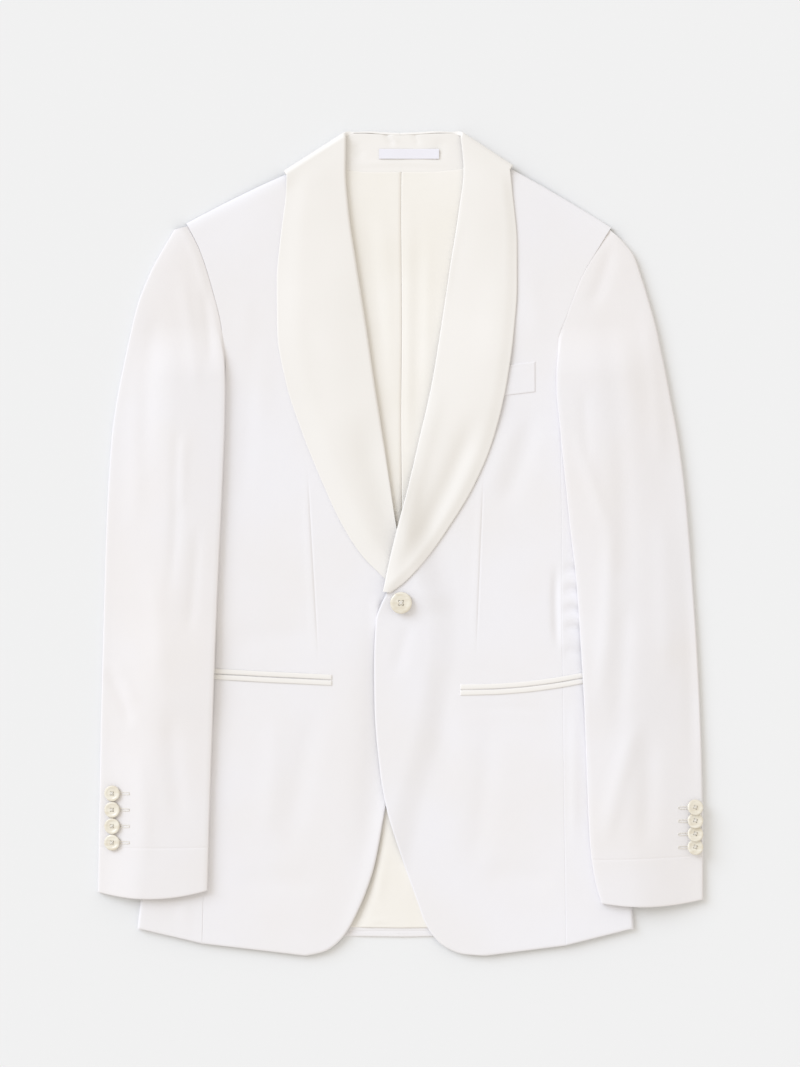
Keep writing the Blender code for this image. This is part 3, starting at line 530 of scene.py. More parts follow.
frontLeftRows = inMetres([
    (-70, 361, -201, 299.7, 2.5), (-54.5, 330, -188.8, 276, 0), (-49.5, 290, -176.7, 239, 0),
    (-41, 240, -167.7, 201, 0), (-33.5, 190, -164.2, 163.5, 0), (-24.5, 130, -166.1, 130, 0),
    (-15.2, 70, -168.9, 85, 0), (-7, 15, -171.3, 35, 0), (0.5, -15, -173.2, -5, 0),
    (6.5, -40, -175.2, -45, 0), (19, -60, -176.8, -85, 0), (20, -95, -178, -115, 0),
    (16, -130, -179.1, -149, 0), (6, -180, -180.8, -200, 0), (-13, -249, -182.6, -260, 0),
    (-25, -308, -184, -306, 0), (-42, -352, -184.8, -336, 0), (-55, -373, -185.3, -354, 0),
    (-71, -385, -185.6, -367, 0), (-88, -389, -185.9, -377.5, 0)])
frontRightRows = inMetres([
    (71, 368, 198.7, 296, 2), (61, 330, 189.6, 281, 0), (55.5, 290, 171.7, 250.5, 0),
    (48, 240, 157.7, 215, 0), (40.5, 190, 148.2, 185, 0), (29.6, 130, 149.8, 130, 0),
    (15.7, 70, 151, 85, 0), (1.8, 15, 151.8, 35, 0), (-4.6, -12, 152, 5, 0), (-9.5, -32, 152.1, -25, 0),
    (-12, -46, 152.2, -50, 0), (-18, -59, 152.2, -68, 0), (-22.5, -73, 152.3, -85, 0),
    (-24.3, -112, 152.6, -117, 0), (-24, -149, 152.9, -149, 0), (-18, -222, 153.8, -222, 0),
    (-13, -249, 154.2, -260, 0), (1, -295, 154.9, -300, 0), (16, -337, 155.3, -330, 0),
    (25, -361, 155.5, -348, 0), (40, -379, 155.7, -361, 0), (60, -387.5, 155.8, -370, 0),
    (80, -389, 155.85, -379.3, 0)])
fronts = {
    "frontLeft": {
        "rows": frontLeftRows, "top": leftFrontTop, "dart": [(0.079, -0.0874), (-0.1185, -0.0761)],
        "nodes": ["front_left"], "flat": (0.222, 0.75), "area": 0.116,
        "edges": {"inner": (0.0025, 0.0014), "outer": (0.0008, 0.00015), "last": (0.0025, 0.0012),
                  "first": (0.009, 0.0035)},
        "creases": [
            (-87.4, 79, -76.1, -118.5, 0.8, -0.4, 0),        # dart
            (-90, 70, -79, -118.5, 3, 0.4, 0),
            (-16.5, -52, -14, -76, 2.4, -1.8, 0),            # pull below the crossing
            (-23, -50, -22, -90, 3, 0.8, 0),
            (-18, -45, -33, -330, 15, -2.1, 4),              # hollow along the lapped edge
            (-165, -94, -75, -90, 13, -0.7, 3), (-75, -145, -104, -300, 12, -0.9, -4),
            (-118, -150, -128, -290, 10, 0.6, 3), (-160, -318, -70, -324, 11, -0.7, 2),
            (-150, 245, -132, 90, 12, 0.6, 5), (-133, 250, -148, 20, 9, -0.5, 0),
            (-12, -235, -60, -395, 8, 0.9, 7),               # edge lifting at the opening
            (-198, -200, -212, -360, 8, -0.7, 0), (-222, -250, -236, -352, 6, 0.6, 0),
            (-205, -300, -202, -370, 6, 0.5, 0)]},
    "frontRight": {
        "rows": frontRightRows, "top": rightFrontTop, "dart": [(0.074, 0.079), (-0.113, 0.0714)],
        "nodes": ["front_right"], "flat": (0.223, 0.757), "area": 0.118,
        "edges": {"inner": (0.0016, 0.0012), "outer": (0.0008, 0.00015), "last": (0.0025, 0.0012),
                  "first": (0.009, 0.0035)},
        "creases": [
            (79, 74, 71.4, -113, 0.8, -0.4, 0),              # dart
            (76.5, 66, 68.8, -113, 3, 0.4, 0), (127, 130, 93, 25, 10, -1.1, 4),
            (112, 120, 80, 40, 8, 0.5, 0), (147.5, -18, 149, -105, 3.6, -1.7, -2),
            (28, -75, 40, -245, 13, -0.8, 6), (85, -150, 66, -330, 11, -0.7, 3),
            (60, -155, 150, -158, 3, -0.3, 0), (70, -312, 150, -318, 12, -0.7, 2),
            (118, 270, 132, 180, 11, 0.6, 0), (10, -70, -6, -130, 6, -0.7, 0),
            (150.5, -24, 186, -25.5, 3, -1.3, 0),            # puckers beside the side seam
            (150.5, -34.5, 180, -36, 3, 0.7, 0), (150.5, -44.5, 184, -45.5, 3.2, -1.4, 0),
            (150.5, -54, 182, -55.5, 3, 0.8, 0), (150.5, -63, 186, -63.5, 3, -1.4, 0),
            (150.5, -71.5, 180, -73, 3, 0.7, 0), (150.5, -80, 185, -81.5, 3.2, -1.3, 0),
            (150.5, -102, 184, -103, 4, -1, 0), (164, -140, 164, -300, 4, 0.7, 0)]},
}
for name, facts in fronts.items():
    x, y, distances = panelPlan(facts["rows"], spacings["front"], facts["dart"])
    z = facts["top"](x, y) + creaseHeight(x, y, facts["creases"]) + ripple(x, y, 0.042, 0.00022)
    z -= rollEdges(distances, facts["edges"])
    facts["seamLine"] = x[:, -1], y[:, -1]
    facts["piece"] = layPanel(name, x, y, z, shells["front"], woolCloth, "wool", facts["nodes"])
print("fronts laid")


# side panels: over the top, round the fold and under. A row is y at the front seam, fold and back seam

edgeLeft = inMetres([(112, -212), (0, -205), (-100, -214), (-200, -228), (-336, -244), (-364, -247)])
edgeRight = inMetres([(112, 200), (0, 193), (-100, 200), (-200, 208), (-336, 218), (-364, 220)])
underSeamLeft = inMetres([(120, -160), (-370, -165)])
underSeamRight = inMetres([(120, 146), (-370, 156)])
sideRows = [
    (128, 112, 119), (98, 84, 92), (50, 42, 46), (0, -4, 0), (-60, -60, -60), (-120, -116, -120),
    (-180, -172, -178), (-240, -228, -236), (-300, -285, -294), (-345, -328, -336)]
sides = {
    "sidePanelLeft": {
        "side": -1, "rows": inMetres(sideRows + [(-377.5, -364, -369.5)]), "front": "frontLeft",
        "edge": edgeLeft, "under": underSeamLeft, "nodes": ["side_panel_left"], "flat": (0.155, 0.51),
        "area": 0.05},
    "sidePanelRight": {
        "side": 1, "rows": inMetres(sideRows + [(-379.3, -364, -369.5)]), "front": "frontRight",
        "edge": edgeRight, "under": underSeamRight, "nodes": ["side_panel_right"], "flat": (0.13, 0.51),
        "area": 0.045},
}


def sidePlan(facts):
    # plan and heights of a side panel, as if its fold were drawn round a rod
    side, radius = facts["side"], frontTop / 2
    knots = np.array([facts["rows"][0][0] - row[0] for row in facts["rows"]])
    down = stepsOver(knots[-1], spacings["side"])
    table = fitCurve(knots, facts["rows"], down)
    seamX = seamXAt(fronts[facts["front"]]["seamLine"], table[:, 0]) + side * layers["sewnGap"]
    foldX = curveAt(facts["edge"], table[:, 1]) - side * radius
    underX = curveAt(facts["under"], table[:, 2]) + side * layers["sewnGap"]
    over = np.concatenate([fineSteps[:-1] / 0.04, np.linspace(0.125, 1, 15)])
    turns = np.radians(np.arange(15, 180, 15))
    under = np.linspace(0, 1, 12)
    seamX, foldX, underX = seamX[:, None], foldX[:, None], underX[:, None]
    bend = foldX + side * radius * np.sin(turns)
    x = np.concatenate([mix(seamX, foldX, over), bend, mix(foldX, underX, under)], axis=1)
    y = np.concatenate([mix(table[:, 0:1], table[:, 1:2], over), table[:, 1:2] + 0 * turns,
                        mix(table[:, 1:2], table[:, 2:3], under)], axis=1)
    z = np.concatenate([frontTop + 0 * over, radius + radius * np.cos(turns), 0 * under])
    onTop = np.concatenate([1 + 0 * over, np.cos(turns / 2) ** 2 * (turns < 1.4), 0 * under])
    fromSeam = np.abs(x - seamX) + 1.0 * (onTop == 0)
    lastRow = np.broadcast_to((down.max() - down)[:, None], x.shape)
    return x, y, np.broadcast_to(z, x.shape), np.broadcast_to(onTop, x.shape), fromSeam, lastRow


for name, facts in sides.items():
    x, y, z, onTop, fromSeam, lastRow = sidePlan(facts)
    z = z + onTop * (creaseHeight(x, y, fronts[facts["front"]]["creases"]) + ripple(x, y, 0.042, 0.00022))
    z = z - onTop * np.maximum(roundedEdge(fromSeam, 0.0008, 0.00015), roundedEdge(lastRow, 0.0025, 0.0012))
    facts["piece"] = layCloth(name, x, y, z, shells["side"], woolCloth, "wool", facts["nodes"], up=(0.5, 0.2))
print("side panels folded")


# sleeves: a row is inner x, y, outer x, y, height of the flattened sleeve, and how far it bows

sleeveLeftRows = inMetres([
    (-201.4, 297, -212.5, 293.5, 4.4, 0), (-195, 286.5, -221, 279, 5.6, 0),
    (-186.2, 266, -235, 253, 6.2, 0), (-176.3, 235.5, -247.5, 221, 6.2, 0),
    (-169.3, 206, -254.5, 192, 6.2, 0), (-167, 192, -257.5, 178, 6.2, 0),
    (-165.4, 178, -260.5, 164, 6.2, 0), (-164.3, 163, -263.5, 149, 6.2, 0),
    (-163.8, 145, -267, 130, 6.2, 0), (-164.2, 115, -270.7, 103, 6.2, 0), (-165.6, 75, -273.6, 66, 6.2, 0),
    (-168, 20, -276.2, 14, 6.2, 0), (-170.8, -40, -278, -44, 6.2, 0), (-173.2, -100, -279.7, -103, 6.2, 0),
    (-175.3, -160, -281.1, -161, 6.2, 0), (-177.5, -220, -282.3, -220, 6.2, 0),
    (-179.2, -275, -283.3, -275, 6.2, 0), (-180, -306, -283.8, -307, 6.2, -3),
    (-180.6, -327, -284.2, -329, 6.2, -7)])
sleeveRightRows = inMetres([
    (199.1, 293.5, 208.5, 284, 4.4, 0), (189.7, 279.5, 220, 269.5, 5.6, 0),
    (179.2, 261.5, 226.5, 251.5, 6.2, 0), (167.5, 239, 233.5, 229, 6.2, 0), (155.6, 208, 242, 198, 6.2, 0),
    (151.5, 193, 245.5, 181, 6.2, 0), (148.6, 178, 249, 165, 6.2, 0), (146.8, 163, 252, 149, 6.2, 0),
    (146.7, 145, 255.6, 130, 6.2, 0), (149.2, 115, 260.8, 103, 6.2, 0), (153.2, 75, 266.6, 62, 6.2, 0),
    (158.8, 20, 271.4, 14, 6.2, 0), (165.6, -40, 275.6, -44, 6.2, 0), (169.6, -100, 279.6, -103, 6.2, 0),
    (173, -160, 282.4, -161, 6.2, 0), (175.3, -220, 284.4, -222, 6.2, 0),
    (178.2, -283, 285.2, -281, 6.2, 0), (183.3, -319, 285.2, -314, 6.2, -2),
    (189, -339, 285.2, -336, 6.2, -5)])
sleeves = {
    "Left": {
        "side": -1, "rows": sleeveLeftRows, "front": "frontLeft", "armhole": (0.0014, 0.0007), "rope": 0.0006,
        "nodes": ["top_sleeve_left", "under_sleeve_left"],
        "flat": (0.135, 0.635), "area": 0.078, "underFlat": (0.11, 0.62), "underArea": 0.06,
        "crown": 0.0012, "creases": [
            (-208.7, 263, -189.9, 130, 6, 0.7, 3), (-183, 250, -176.5, 155, 5, -0.9, 0),
            (-226.5, 230, -240.6, 60, 9, -1.1, -4), (-244, 160, -250, 0, 8, 0.7, 0),
            (-210, 125, -217.1, -60, 4.8, -1.1, 4), (-201.2, 105, -205, 25, 4.8, 0.9, -2),
            (-190, 25, -199.3, -95, 5, -0.9, 2), (-233, -20, -226, -140, 9, 0.8, 3),
            (-279, -115, -252, -178, 5, -1.3, 3), (-272, -108, -248, -156, 5, 0.7, 3),
            (-214, -150, -203, -275, 8, -0.9, -3), (-245, -190, -238, -300, 7, 0.6, 0)]},
    "Right": {
        "side": 1, "rows": sleeveRightRows, "front": "frontRight", "armhole": (0.001, 0.00015), "rope": 0.0,
        "nodes": ["top_sleeve_right", "under_sleeve_right"],
        "flat": (0.14, 0.64), "area": 0.08, "underFlat": (0.115, 0.62), "underArea": 0.06,
        "crown": 0.0010, "creases": [
            (200, 285, 176, 215, 7, -1, 3), (192.7, 230, 213.4, -70, 11, -1.5, 4),
            (164, 105, 196.5, 5, 6, 1, 0), (197, 35, 184, -165, 7, 1.2, 4),
            (213.4, -40, 203, -190, 8.5, -1.4, 0), (226, -155, 190, -290, 8, 1.4, -2),
            (234, -170, 231, -295, 9.5, -1.4, 0), (227.5, 235, 244, 60, 7.5, 0.9, 4),
            (244, 50, 250, -150, 9, 0.8, 2), (267, 30, 276, -235, 8, -1.2, 2),
            (172, 150, 176, 60, 5, -0.7, 0)]},
}
foldReach = 0.0018
turnUp = 0.0415              # depth of the cuff's turned-up hem


def sleevePlan(facts, spacing):
    # outer face of a top sleeve: round the inner fold, over, round the outer fold
    table, down = denseRows(facts["rows"], spacing, [turnUp])
    folded = onBody(table[:, 1:2])
    armhole = seamXAt(fronts[facts["front"]]["seamLine"], table[:, 1])
    armhole -= 0.001 * facts["side"] * smoothStep(folded[:, 0] / 0.2)
    table[:, 0] = mix(armhole, table[:, 0], folded[:, 0])
    widths = np.hypot(table[:, 2] - table[:, 0], table[:, 3] - table[:, 1])[:, None]
    height, bow = table[:, 4:5], table[:, 5:6]
    turns = np.radians(np.arange(-90, 91, 15))
    foldAlong = foldReach * (1 - np.cos(turns)) + 0 * widths
    foldHeight = height / 2 * (1 + np.sin(turns))
    spread = 0.0046 * np.linspace(0, 1, len(turns))
    innerAlong = mix(spread, 0.5 * foldAlong, folded)
    innerAlong = innerAlong - innerAlong.min(axis=1, keepdims=True)
    innerHeight = mix(height + 0 * turns, foldHeight, folded)
    start = np.minimum(0.0049, 0.42 * widths)
    end = np.maximum(widths - 0.0046, start + 0.0008)
    count = math.ceil(float((end - start).max()) / spacing)
    over = mix(start, end, np.linspace(0, 1, count + 1))
    along = np.concatenate([innerAlong, over, (widths - foldAlong)[:, ::-1]], axis=1)
    lift = np.concatenate([innerHeight, height + 0 * over, foldHeight[:, ::-1]], axis=1)
    onTop = np.concatenate([mix(1 + 0 * turns, np.maximum(0, np.sin(turns)), folded), 1 + 0 * over,
                            np.maximum(0, np.sin(turns))[::-1] + 0 * widths], axis=1)
    u = along / widths
    x = mix(table[:, 0:1], table[:, 2:3], u)
    y = mix(table[:, 1:2], table[:, 3:4], u) + bow * 4 * u * (1 - u)
    fromCuff = np.broadcast_to((down.max() - down)[:, None], x.shape)
    return x, y, lift, onTop, u, along, folded, fromCuff


for word, facts in sleeves.items():
    x, y, lift, onTop, u, along, folded, fromCuff = sleevePlan(facts, spacings["top"])
    z = sleeveGround(facts["side"], x, y) + lift
    z = z + onTop * (facts["crown"] * np.sin(math.pi * np.clip(u, 0, 1)) ** 0.7 + ripple(x, y, 0.034, 0.0002)
                     + creaseHeight(x, y, facts["creases"]))
    sewn = 1 - folded
    z = z + sewn * facts["rope"] * np.exp(-((along - 0.006) / 0.004) ** 2)
    z = z - sewn * roundedEdge(along, *facts["armhole"]) - onTop * roundedEdge(fromCuff, 0.002, 0.0008)
    z = z - onTop * 0.00022 * np.exp(-((fromCuff - turnUp) / 0.0008) ** 2)
    facts["piece"] = layCloth("topSleeve" + word, x, y, z, shells["top"], shadedSleeveWool, "wool",
                              facts["nodes"][:1])
    x, y, _ = panelPlan([row[:4] + row[5:] for row in facts["rows"][1:]], spacings["under"])
    width = np.hypot(x[:, -1:] - x[:, :1], y[:, -1:] - y[:, :1])
    innerGap = 0.0004 + 0.0039 * np.minimum(1.0, 1.5 * onBody(y[:, :1]))
    t = (x - x[:, :1]) / (x[:, -1:] - x[:, :1])
    u = mix(innerGap, width - 0.0046, t) / width
    x, y = mix(x[:, :1], x[:, -1:], u), mix(y[:, :1], y[:, -1:], u)
    z = sleeveGround(facts["side"], x, y) + layers["sleeveWall"]
    facts["under"] = layCloth("underSleeve" + word, x, y, z, shells["under"], shadedSleeveWool, "wool",
                              facts["nodes"][1:])
print("sleeves laid")


# collar: a row is the roll line's x, y and the outer edge's x, y; each half runs from the lapel's
# end up the front, folds over the shoulder and ends at the centre-back seam

lapelLeft = inMetres([
    (-51, 350, -107.5, 325), (-48, 310, -112, 290), (-41, 262, -116, 245), (-32, 205, -115.5, 198),
    (-24, 150, -107.5, 150), (-16, 98.7, -93, 105), (-9.5, 55, -75, 60), (-3, 12, -54, 15),
    (4, -15, -35, -14), (8, -29, -19, -30), (11, -40, -6, -43)])
lapelRight = inMetres([
    (59.5, 350, 106, 325), (55, 310, 110, 280), (47.5, 262, 110, 240), (39, 205, 107, 198),
    (30, 150, 100, 148), (17.5, 95, 87, 95), (7.5, 52, 69, 52), (-3, 12, 46, 14), (-9.5, -15, 24.5, -16),
    (-13.5, -34, 4, -38), (-16.2, -46.5, -8.8, -47.6)])
fallLeft = inMetres([(-28, 386.3, -78, 339.5), (-14, 385.5, -40, 336), (-0.15, 385, -0.15, 336)])
fallRight = inMetres([(34, 386.5, 76, 341), (17, 385.7, 40, 336), (0.15, 385, 0.15, 336)])


def leftCollarTop(x, y):
    return leftFrontTop(x, y) + layers["collarGap"] + layers["collarWall"]


def rightCollarTop(x, y):
    overWelt = climb("weltLow", y) * (1 - climb("weltHigh", y))
    lift = layers["collarGap"] + layers["collarWall"] + 0.0003 + layers["weltRise"] * overWelt
    return rightFrontTop(x, y) + lift


collars = {
    "collarLeft": {
        "lapel": lapelLeft, "corner": (-0.0536, 0.3845, -0.1095, 0.3488), "fall": fallLeft,
        "top": leftCollarTop, "nodes": ["collar_left"], "flat": (0.15, 0.55), "area": 0.037,
        "crown": 0.0008, "reach": 0.0026, "press": 0.025,
        "creases": [
            (-56, 300, -56, 120, 20, 0.6, 4), (-40, 130, 6, -45, 15, -2.6, 0),
            (-90, 230, -70, 100, 12, -0.4, 0)]},
    "collarRight": {
        "lapel": lapelRight, "corner": (0.06, 0.3845, 0.1065, 0.354), "fall": fallRight,
        "top": rightCollarTop, "nodes": ["collar_right"], "flat": (0.15, 0.55), "area": 0.034,
        "crown": 0.0008, "reach": 0.001, "press": 0.012,
        "creases": [
            (64, 330, -8, -42, 4.5, 1.2, -9),                # soft roll by the edge
            (40, 160, -8, -45, 7, 1.2, 0),
            (75, 130, -6, -40, 9.5, -2.6, 6),                # hollow behind it
            (93, 270, 83, 140, 12, 0.5, 0)]},
}
collarRoll = {"lapelHalf": 0.0022, "neckHalf": 0.0025, "slides": (0.0, 0.001, 0.0035, 0.0075, 0.0113)}


def collarPlan(facts):
    corner = np.array(facts["corner"])
    along = (corner[2:] - corner[:2]) / np.hypot(*(corner[2:] - corner[:2]))
    outward = np.array([-along[1], along[0]])
    if outward[1] < 0:
        outward = -outward
    radius = float(facts["top"](corner[0:1], corner[1:2] - 0.01)[0]) / 2
    foldRows, foldTurns = [], np.radians(np.arange(0, 181, 12))
    slideTurns = np.radians(np.arange(0, 181, 45))
    slides = fitCurve(slideTurns, np.array(collarRoll["slides"])[:, None], foldTurns)[:, 0]
    for turn, slide in zip(foldTurns, slides):
        shift = outward * (radius * (math.sin(turn) - 1))
        foldRows.append(np.concatenate([corner[:2] + shift - along * slide, corner[2:] + shift]))
    lapelRows = denseRows(facts["lapel"][::-1] + [foldRows[0]], spacings["lapel"])[0][:-1]
    fallRows = denseRows([foldRows[-1]] + facts["fall"], spacings["fall"])[0][1:]
    rows = np.concatenate([lapelRows, foldRows, fallRows])
    turns = np.concatenate([np.zeros(len(lapelRows)), foldTurns, np.full(len(fallRows), math.pi)])
    normals = np.stack([outward[0] * np.sin(turns), outward[1] * np.sin(turns), np.cos(turns)], axis=-1)
    fallStart = len(lapelRows) + len(foldTurns)
    normals[fallStart:] = (0, 0, -1)
    half = mix(collarRoll["lapelHalf"], collarRoll["neckHalf"], turns / math.pi)[:, None]
    across = rows[:, 2:] - rows[:, :2]
    widths = np.hypot(across[:, 0], across[:, 1])[:, None]
    across = across / widths
    rollTurns = np.radians(np.arange(-90, 91, 15))
    reach = mix(facts["reach"], 0.0026, smoothStep(turns / math.pi))[:, None]
    edge = widths - fineSteps[::-1] * np.minimum(1, widths / 0.014)
    count = math.ceil(float(widths.max()) / spacings["lapel"])
    inner = mix(reach, edge[:, :1], np.arange(1, count) / count)
    flatAlong = np.concatenate([inner, edge], axis=1)
    alongAll = np.concatenate([reach * (1 - np.cos(rollTurns)), flatAlong], axis=1)
    depth = np.concatenate([half * (1 - np.sin(rollTurns)), 0 * flatAlong], axis=1)
    x = rows[:, 0:1] + across[:, 0:1] * alongAll
    y = rows[:, 1:2] + across[:, 1:2] * alongAll
    onLapel = (np.arange(len(rows)) < len(lapelRows))[:, None]
    base = np.where(onLapel, facts["top"](x, y), (radius + radius * np.cos(turns))[:, None])
    base[fallStart:] = 0.0
    fromFold = np.hypot(rows[:, 0] - foldRows[0][0], rows[:, 1] - foldRows[0][1])[:, None]
    weight = np.where(onLapel, smoothStep(fromFold / 0.03), 0.0)
    t = np.clip((alongAll - reach) / (widths - reach), 0, 1)
    onFace = np.concatenate([np.maximum(0, np.sin(rollTurns)) + 0 * widths, 1 + 0 * flatAlong], axis=1)
    pressed = 0.0014 * smoothStep(1 - (widths - alongAll) / facts["press"])
    rise = weight * onFace * (facts["crown"] * np.sin(math.pi * t) + creaseHeight(x, y, facts["creases"])
                              + ripple(x, y, 0.05, 0.00015) - pressed)
    rise = rise - roundedEdge(widths - alongAll, 0.0016, 0.0006)
    shift = rise - depth
    return x + normals[:, 0:1] * shift, y + normals[:, 1:2] * shift, base + normals[:, 2:3] * shift


for name, facts in collars.items():
    x, y, z = collarPlan(facts)
    facts["piece"] = layCloth(name, x, y, z, 0.001, satinCloth, "satin", facts["nodes"], up=(0.3, 0.6))
print("collar folded")

stand = {"top": 0.005, "tuck": 0.0019, "wall": 0.0014, "flat": (0.123, 0.034), "area": 0.0038, "creases": [
    (-16.5, 387, -5, 371.5, 2.2, -1.2, 0), (-11, 385, -1, 374, 2.2, 0.7, 0),
    (12, 385, 18.5, 372.5, 2, -0.9, 0), (-45, 375, -35, 360, 5, -0.6, 0), (40, 380, 33, 360, 6, -0.6, 0),
    (-56, 353.5, 56, 353.5, 2, 0.4, 3)], "edges": {"outer": (0.0016, 0.0006), "inner": (0.0006, 0.0001)}}
x, y, distances = panelPlan(
    [(across, low, across, high + stand["tuck"], 0) for across, low, high in standRows], 0.0022)
z = stand["top"] + creaseHeight(x, y, stand["creases"]) - rollEdges(distances, stand["edges"])
stand["piece"] = layPanel("collarStand", x, y, z, stand["wall"], satinCloth, "satin", ["collar_stand"])

label = {"left": -0.0197, "right": 0.0367, "low": 0.36, "high": 0.3694, "top": 0.0063, "wall": 0.0003,
         "edges": {"first": (0.0008, 0.0002), "last": (0.0008, 0.0002)}}
x, y, distances = panelPlan([(label["left"], label["high"], label["right"], label["high"], 0),
                             (label["left"], label["low"], label["right"], label["low"], 0)], 0.0015)
z = label["top"] - 0.0004 + 0.0002 * np.sin((x - label["left"]) * 130) - rollEdges(distances, label["edges"])
label["piece"] = layPanel("neckLabel", x, y, z, label["wall"], labelCloth, "label", ["neck_label"])
print("neck finished")


# pockets: jetted mouths of two satin lips, and the breast welt. A row of a mouth is x and y

mouthLeft = inMetres([
    (-64, -129.7), (-92, -128.3), (-120, -127), (-147, -125.5), (-174, -124), (-198, -122.5)])
mouthRight = inMetres([(56.5, -139), (85, -138.3), (113, -136.5), (142, -133), (171, -128), (193, -123.5)])
jets = {"width": 0.0048, "gap": 0.0007, "rise": 0.0006, "wall": 0.0004}


def layJet(word, lip, sign, mouth, top):
    table = np.array(mouth)
    at = stepsOver(abs(table[-1, 0] - table[0, 0]), 0.003)
    line = fitCurve(np.abs(table[:, 0] - table[0, 0]), table, at)
    v = np.linspace(0, 1, 13)
    x = line[:, 0:1] + 0 * v
    y = line[:, 1:2] + sign * (jets["gap"] / 2 + jets["width"] * v)
    dome = np.sqrt(np.maximum(0, 1 - (2 * v - 1) ** 2)) ** 0.7
    z = top(x, y) + 0.0004 + jets["rise"] * dome - roundedEdge(at[:, None] + 0 * v, 0.0012, 0.0005)
    node = f"pocket_jet_{lip.lower()}_{word.lower()}"
    made = layPanel(f"jet{lip}{word}", x, y, z, jets["wall"], satinCloth, "satin", [node])


for word, mouth, top in (("Left", mouthLeft, leftFrontTop), ("Right", mouthRight, rightFrontTop)):
    layJet(word, "Upper", 1, mouth, top)
    layJet(word, "Lower", -1, mouth, top)

welt = {"corners": ((0.042, 0.131), (0.127, 0.141), (0.127, 0.1695), (0.042, 0.159)), "rise": 0.0005,
        "wall": 0.0005, "flat": (0.086, 0.0286), "creases": [(42, 156.5, 128.5, 166.8, 1, -0.2, 0)],
        "edges": {"first": (0.0014, 0.0004), **dict.fromkeys(("last", "outer", "inner"), (0.001, 0.0004))}}
lowLeft, lowRight, highRight, highLeft = welt["corners"]
x, y, distances = panelPlan([(*highLeft, *highRight, 0), (*lowLeft, *lowRight, 0)], 0.0022)
z = rightFrontTop(x, y) + 0.0003 + welt["rise"] + creaseHeight(x, y, welt["creases"])
z -= rollEdges(distances, welt["edges"])
welt["piece"] = layPanel("breastWelt", x, y, z, welt["wall"], woolCloth, "wool", ["breast_welt"])
print("pockets set")


# buttons, their thread, and the buttonholes on the cuffs

def tube(points, radius, sides=8, waves=0.0):
    # vertices and faces of a closed-ended thread along points
    points = [Vector(p) for p in points]
    verts, faces = [], []
    for i, point in enumerate(points):
        heading = (points[min(i + 1, len(points) - 1)] - points[max(i - 1, 0)]).normalized()
        sideways = heading.cross(Vector((0, 0, 1)))
        sideways = sideways.normalized() if sideways.length > 0.01 else Vector((1, 0, 0))
        upward = sideways.cross(heading)
        size = radius * (1 + waves * math.sin(i * 2.1))
        for k in range(sides):
            turn = math.tau * k / sides
            verts.append(point + (sideways * math.cos(turn) + upward * math.sin(turn)) * size)
    for i in range(len(points) - 1):
        for k in range(sides):
            a, b = i * sides + k, i * sides + (k + 1) % sides
            faces.append((a, b, b + sides, a + sides))
    faces.append(tuple(range(sides)))
    faces.append(tuple(reversed(range((len(points) - 1) * sides, len(points) * sides))))
    return verts, faces


def meshOf(shape, name):
    mesh = bpy.data.meshes.new(name)
    shape.to_mesh(mesh)
    shape.free()
    return mesh


def joinThreads(name, threads):
    verts, faces = [], []
    for threadVerts, threadFaces in threads:
        faces += [tuple(index + len(verts) for index in face) for face in threadFaces]
        verts += threadVerts
    shape = bmesh.new()
    made = [shape.verts.new(v) for v in verts]
    for face in faces:
        shape.faces.new([made[index] for index in face])
    bmesh.ops.recalc_face_normals(shape, faces=shape.faces)
    mesh = meshOf(shape, name)
    mesh.shade_smooth()
    return mesh


def turnButton(name, facts):
    # a turned button standing on z = 0 on its thread shank, with four holes
    radius, thick, shank = facts["width"] / 2, facts["thick"], facts["shank"]
    outline = [(0, 0.76), (0.3, 0.76), (0.48, 0.78), (0.58, 0.82), (0.66, 0.91), (0.73, 0.98), (0.81, 1),
               (0.89, 0.98), (0.95, 0.88), (0.99, 0.7), (1, 0.52), (0.96, 0.3), (0.88, 0.12), (0.76, 0.02),
               (0.6, 0), (0.22, 0)]
    profile = [(r * radius, shank + z * thick) for r, z in outline] + [(0.20 * radius, 0.0), (0, 0.0)]
    shape = bmesh.new()
    line = [shape.verts.new((r, 0, z)) for r, z in profile]
    edges = [shape.edges.new(pair) for pair in zip(line, line[1:])]
    bmesh.ops.spin(shape, geom=line + edges, cent=(0, 0, 0), axis=(0, 0, 1), angle=math.tau, steps=56)
    bmesh.ops.remove_doubles(shape, verts=shape.verts, dist=0.000005)
    bmesh.ops.recalc_face_normals(shape, faces=shape.faces)
    blank = bpy.data.objects.new(name + "Blank", meshOf(shape, name))
    drill = bmesh.new()
    hole = Matrix.Translation((facts["holes"], 0, shank + thick))
    for turn in (45, 135, 225, 315):
        bmesh.ops.create_cone(drill, cap_ends=True, segments=16, radius1=facts["bore"], radius2=facts["bore"],
                              depth=1.5 * thick, matrix=Matrix.Rotation(math.radians(turn), 4, "Z") @ hole)
    drillObject = bpy.data.objects.new(name + "Drill", meshOf(drill, name + "Drill"))
    for helper in (blank, drillObject):
        bpy.context.scene.collection.objects.link(helper)
    cut = blank.modifiers.new("holes", "BOOLEAN")
    cut.operation = "DIFFERENCE"
    cut.object = drillObject
    bpy.context.view_layer.update()
    done = bpy.data.meshes.new_from_object(blank.evaluated_get(bpy.context.evaluated_depsgraph_get()))
    done.name = name
    done.shade_smooth()
    done.set_sharp_from_angle(angle=math.radians(50))
    for helper in (blank, drillObject):
        bpy.data.objects.remove(helper, do_unlink=True)
    return done


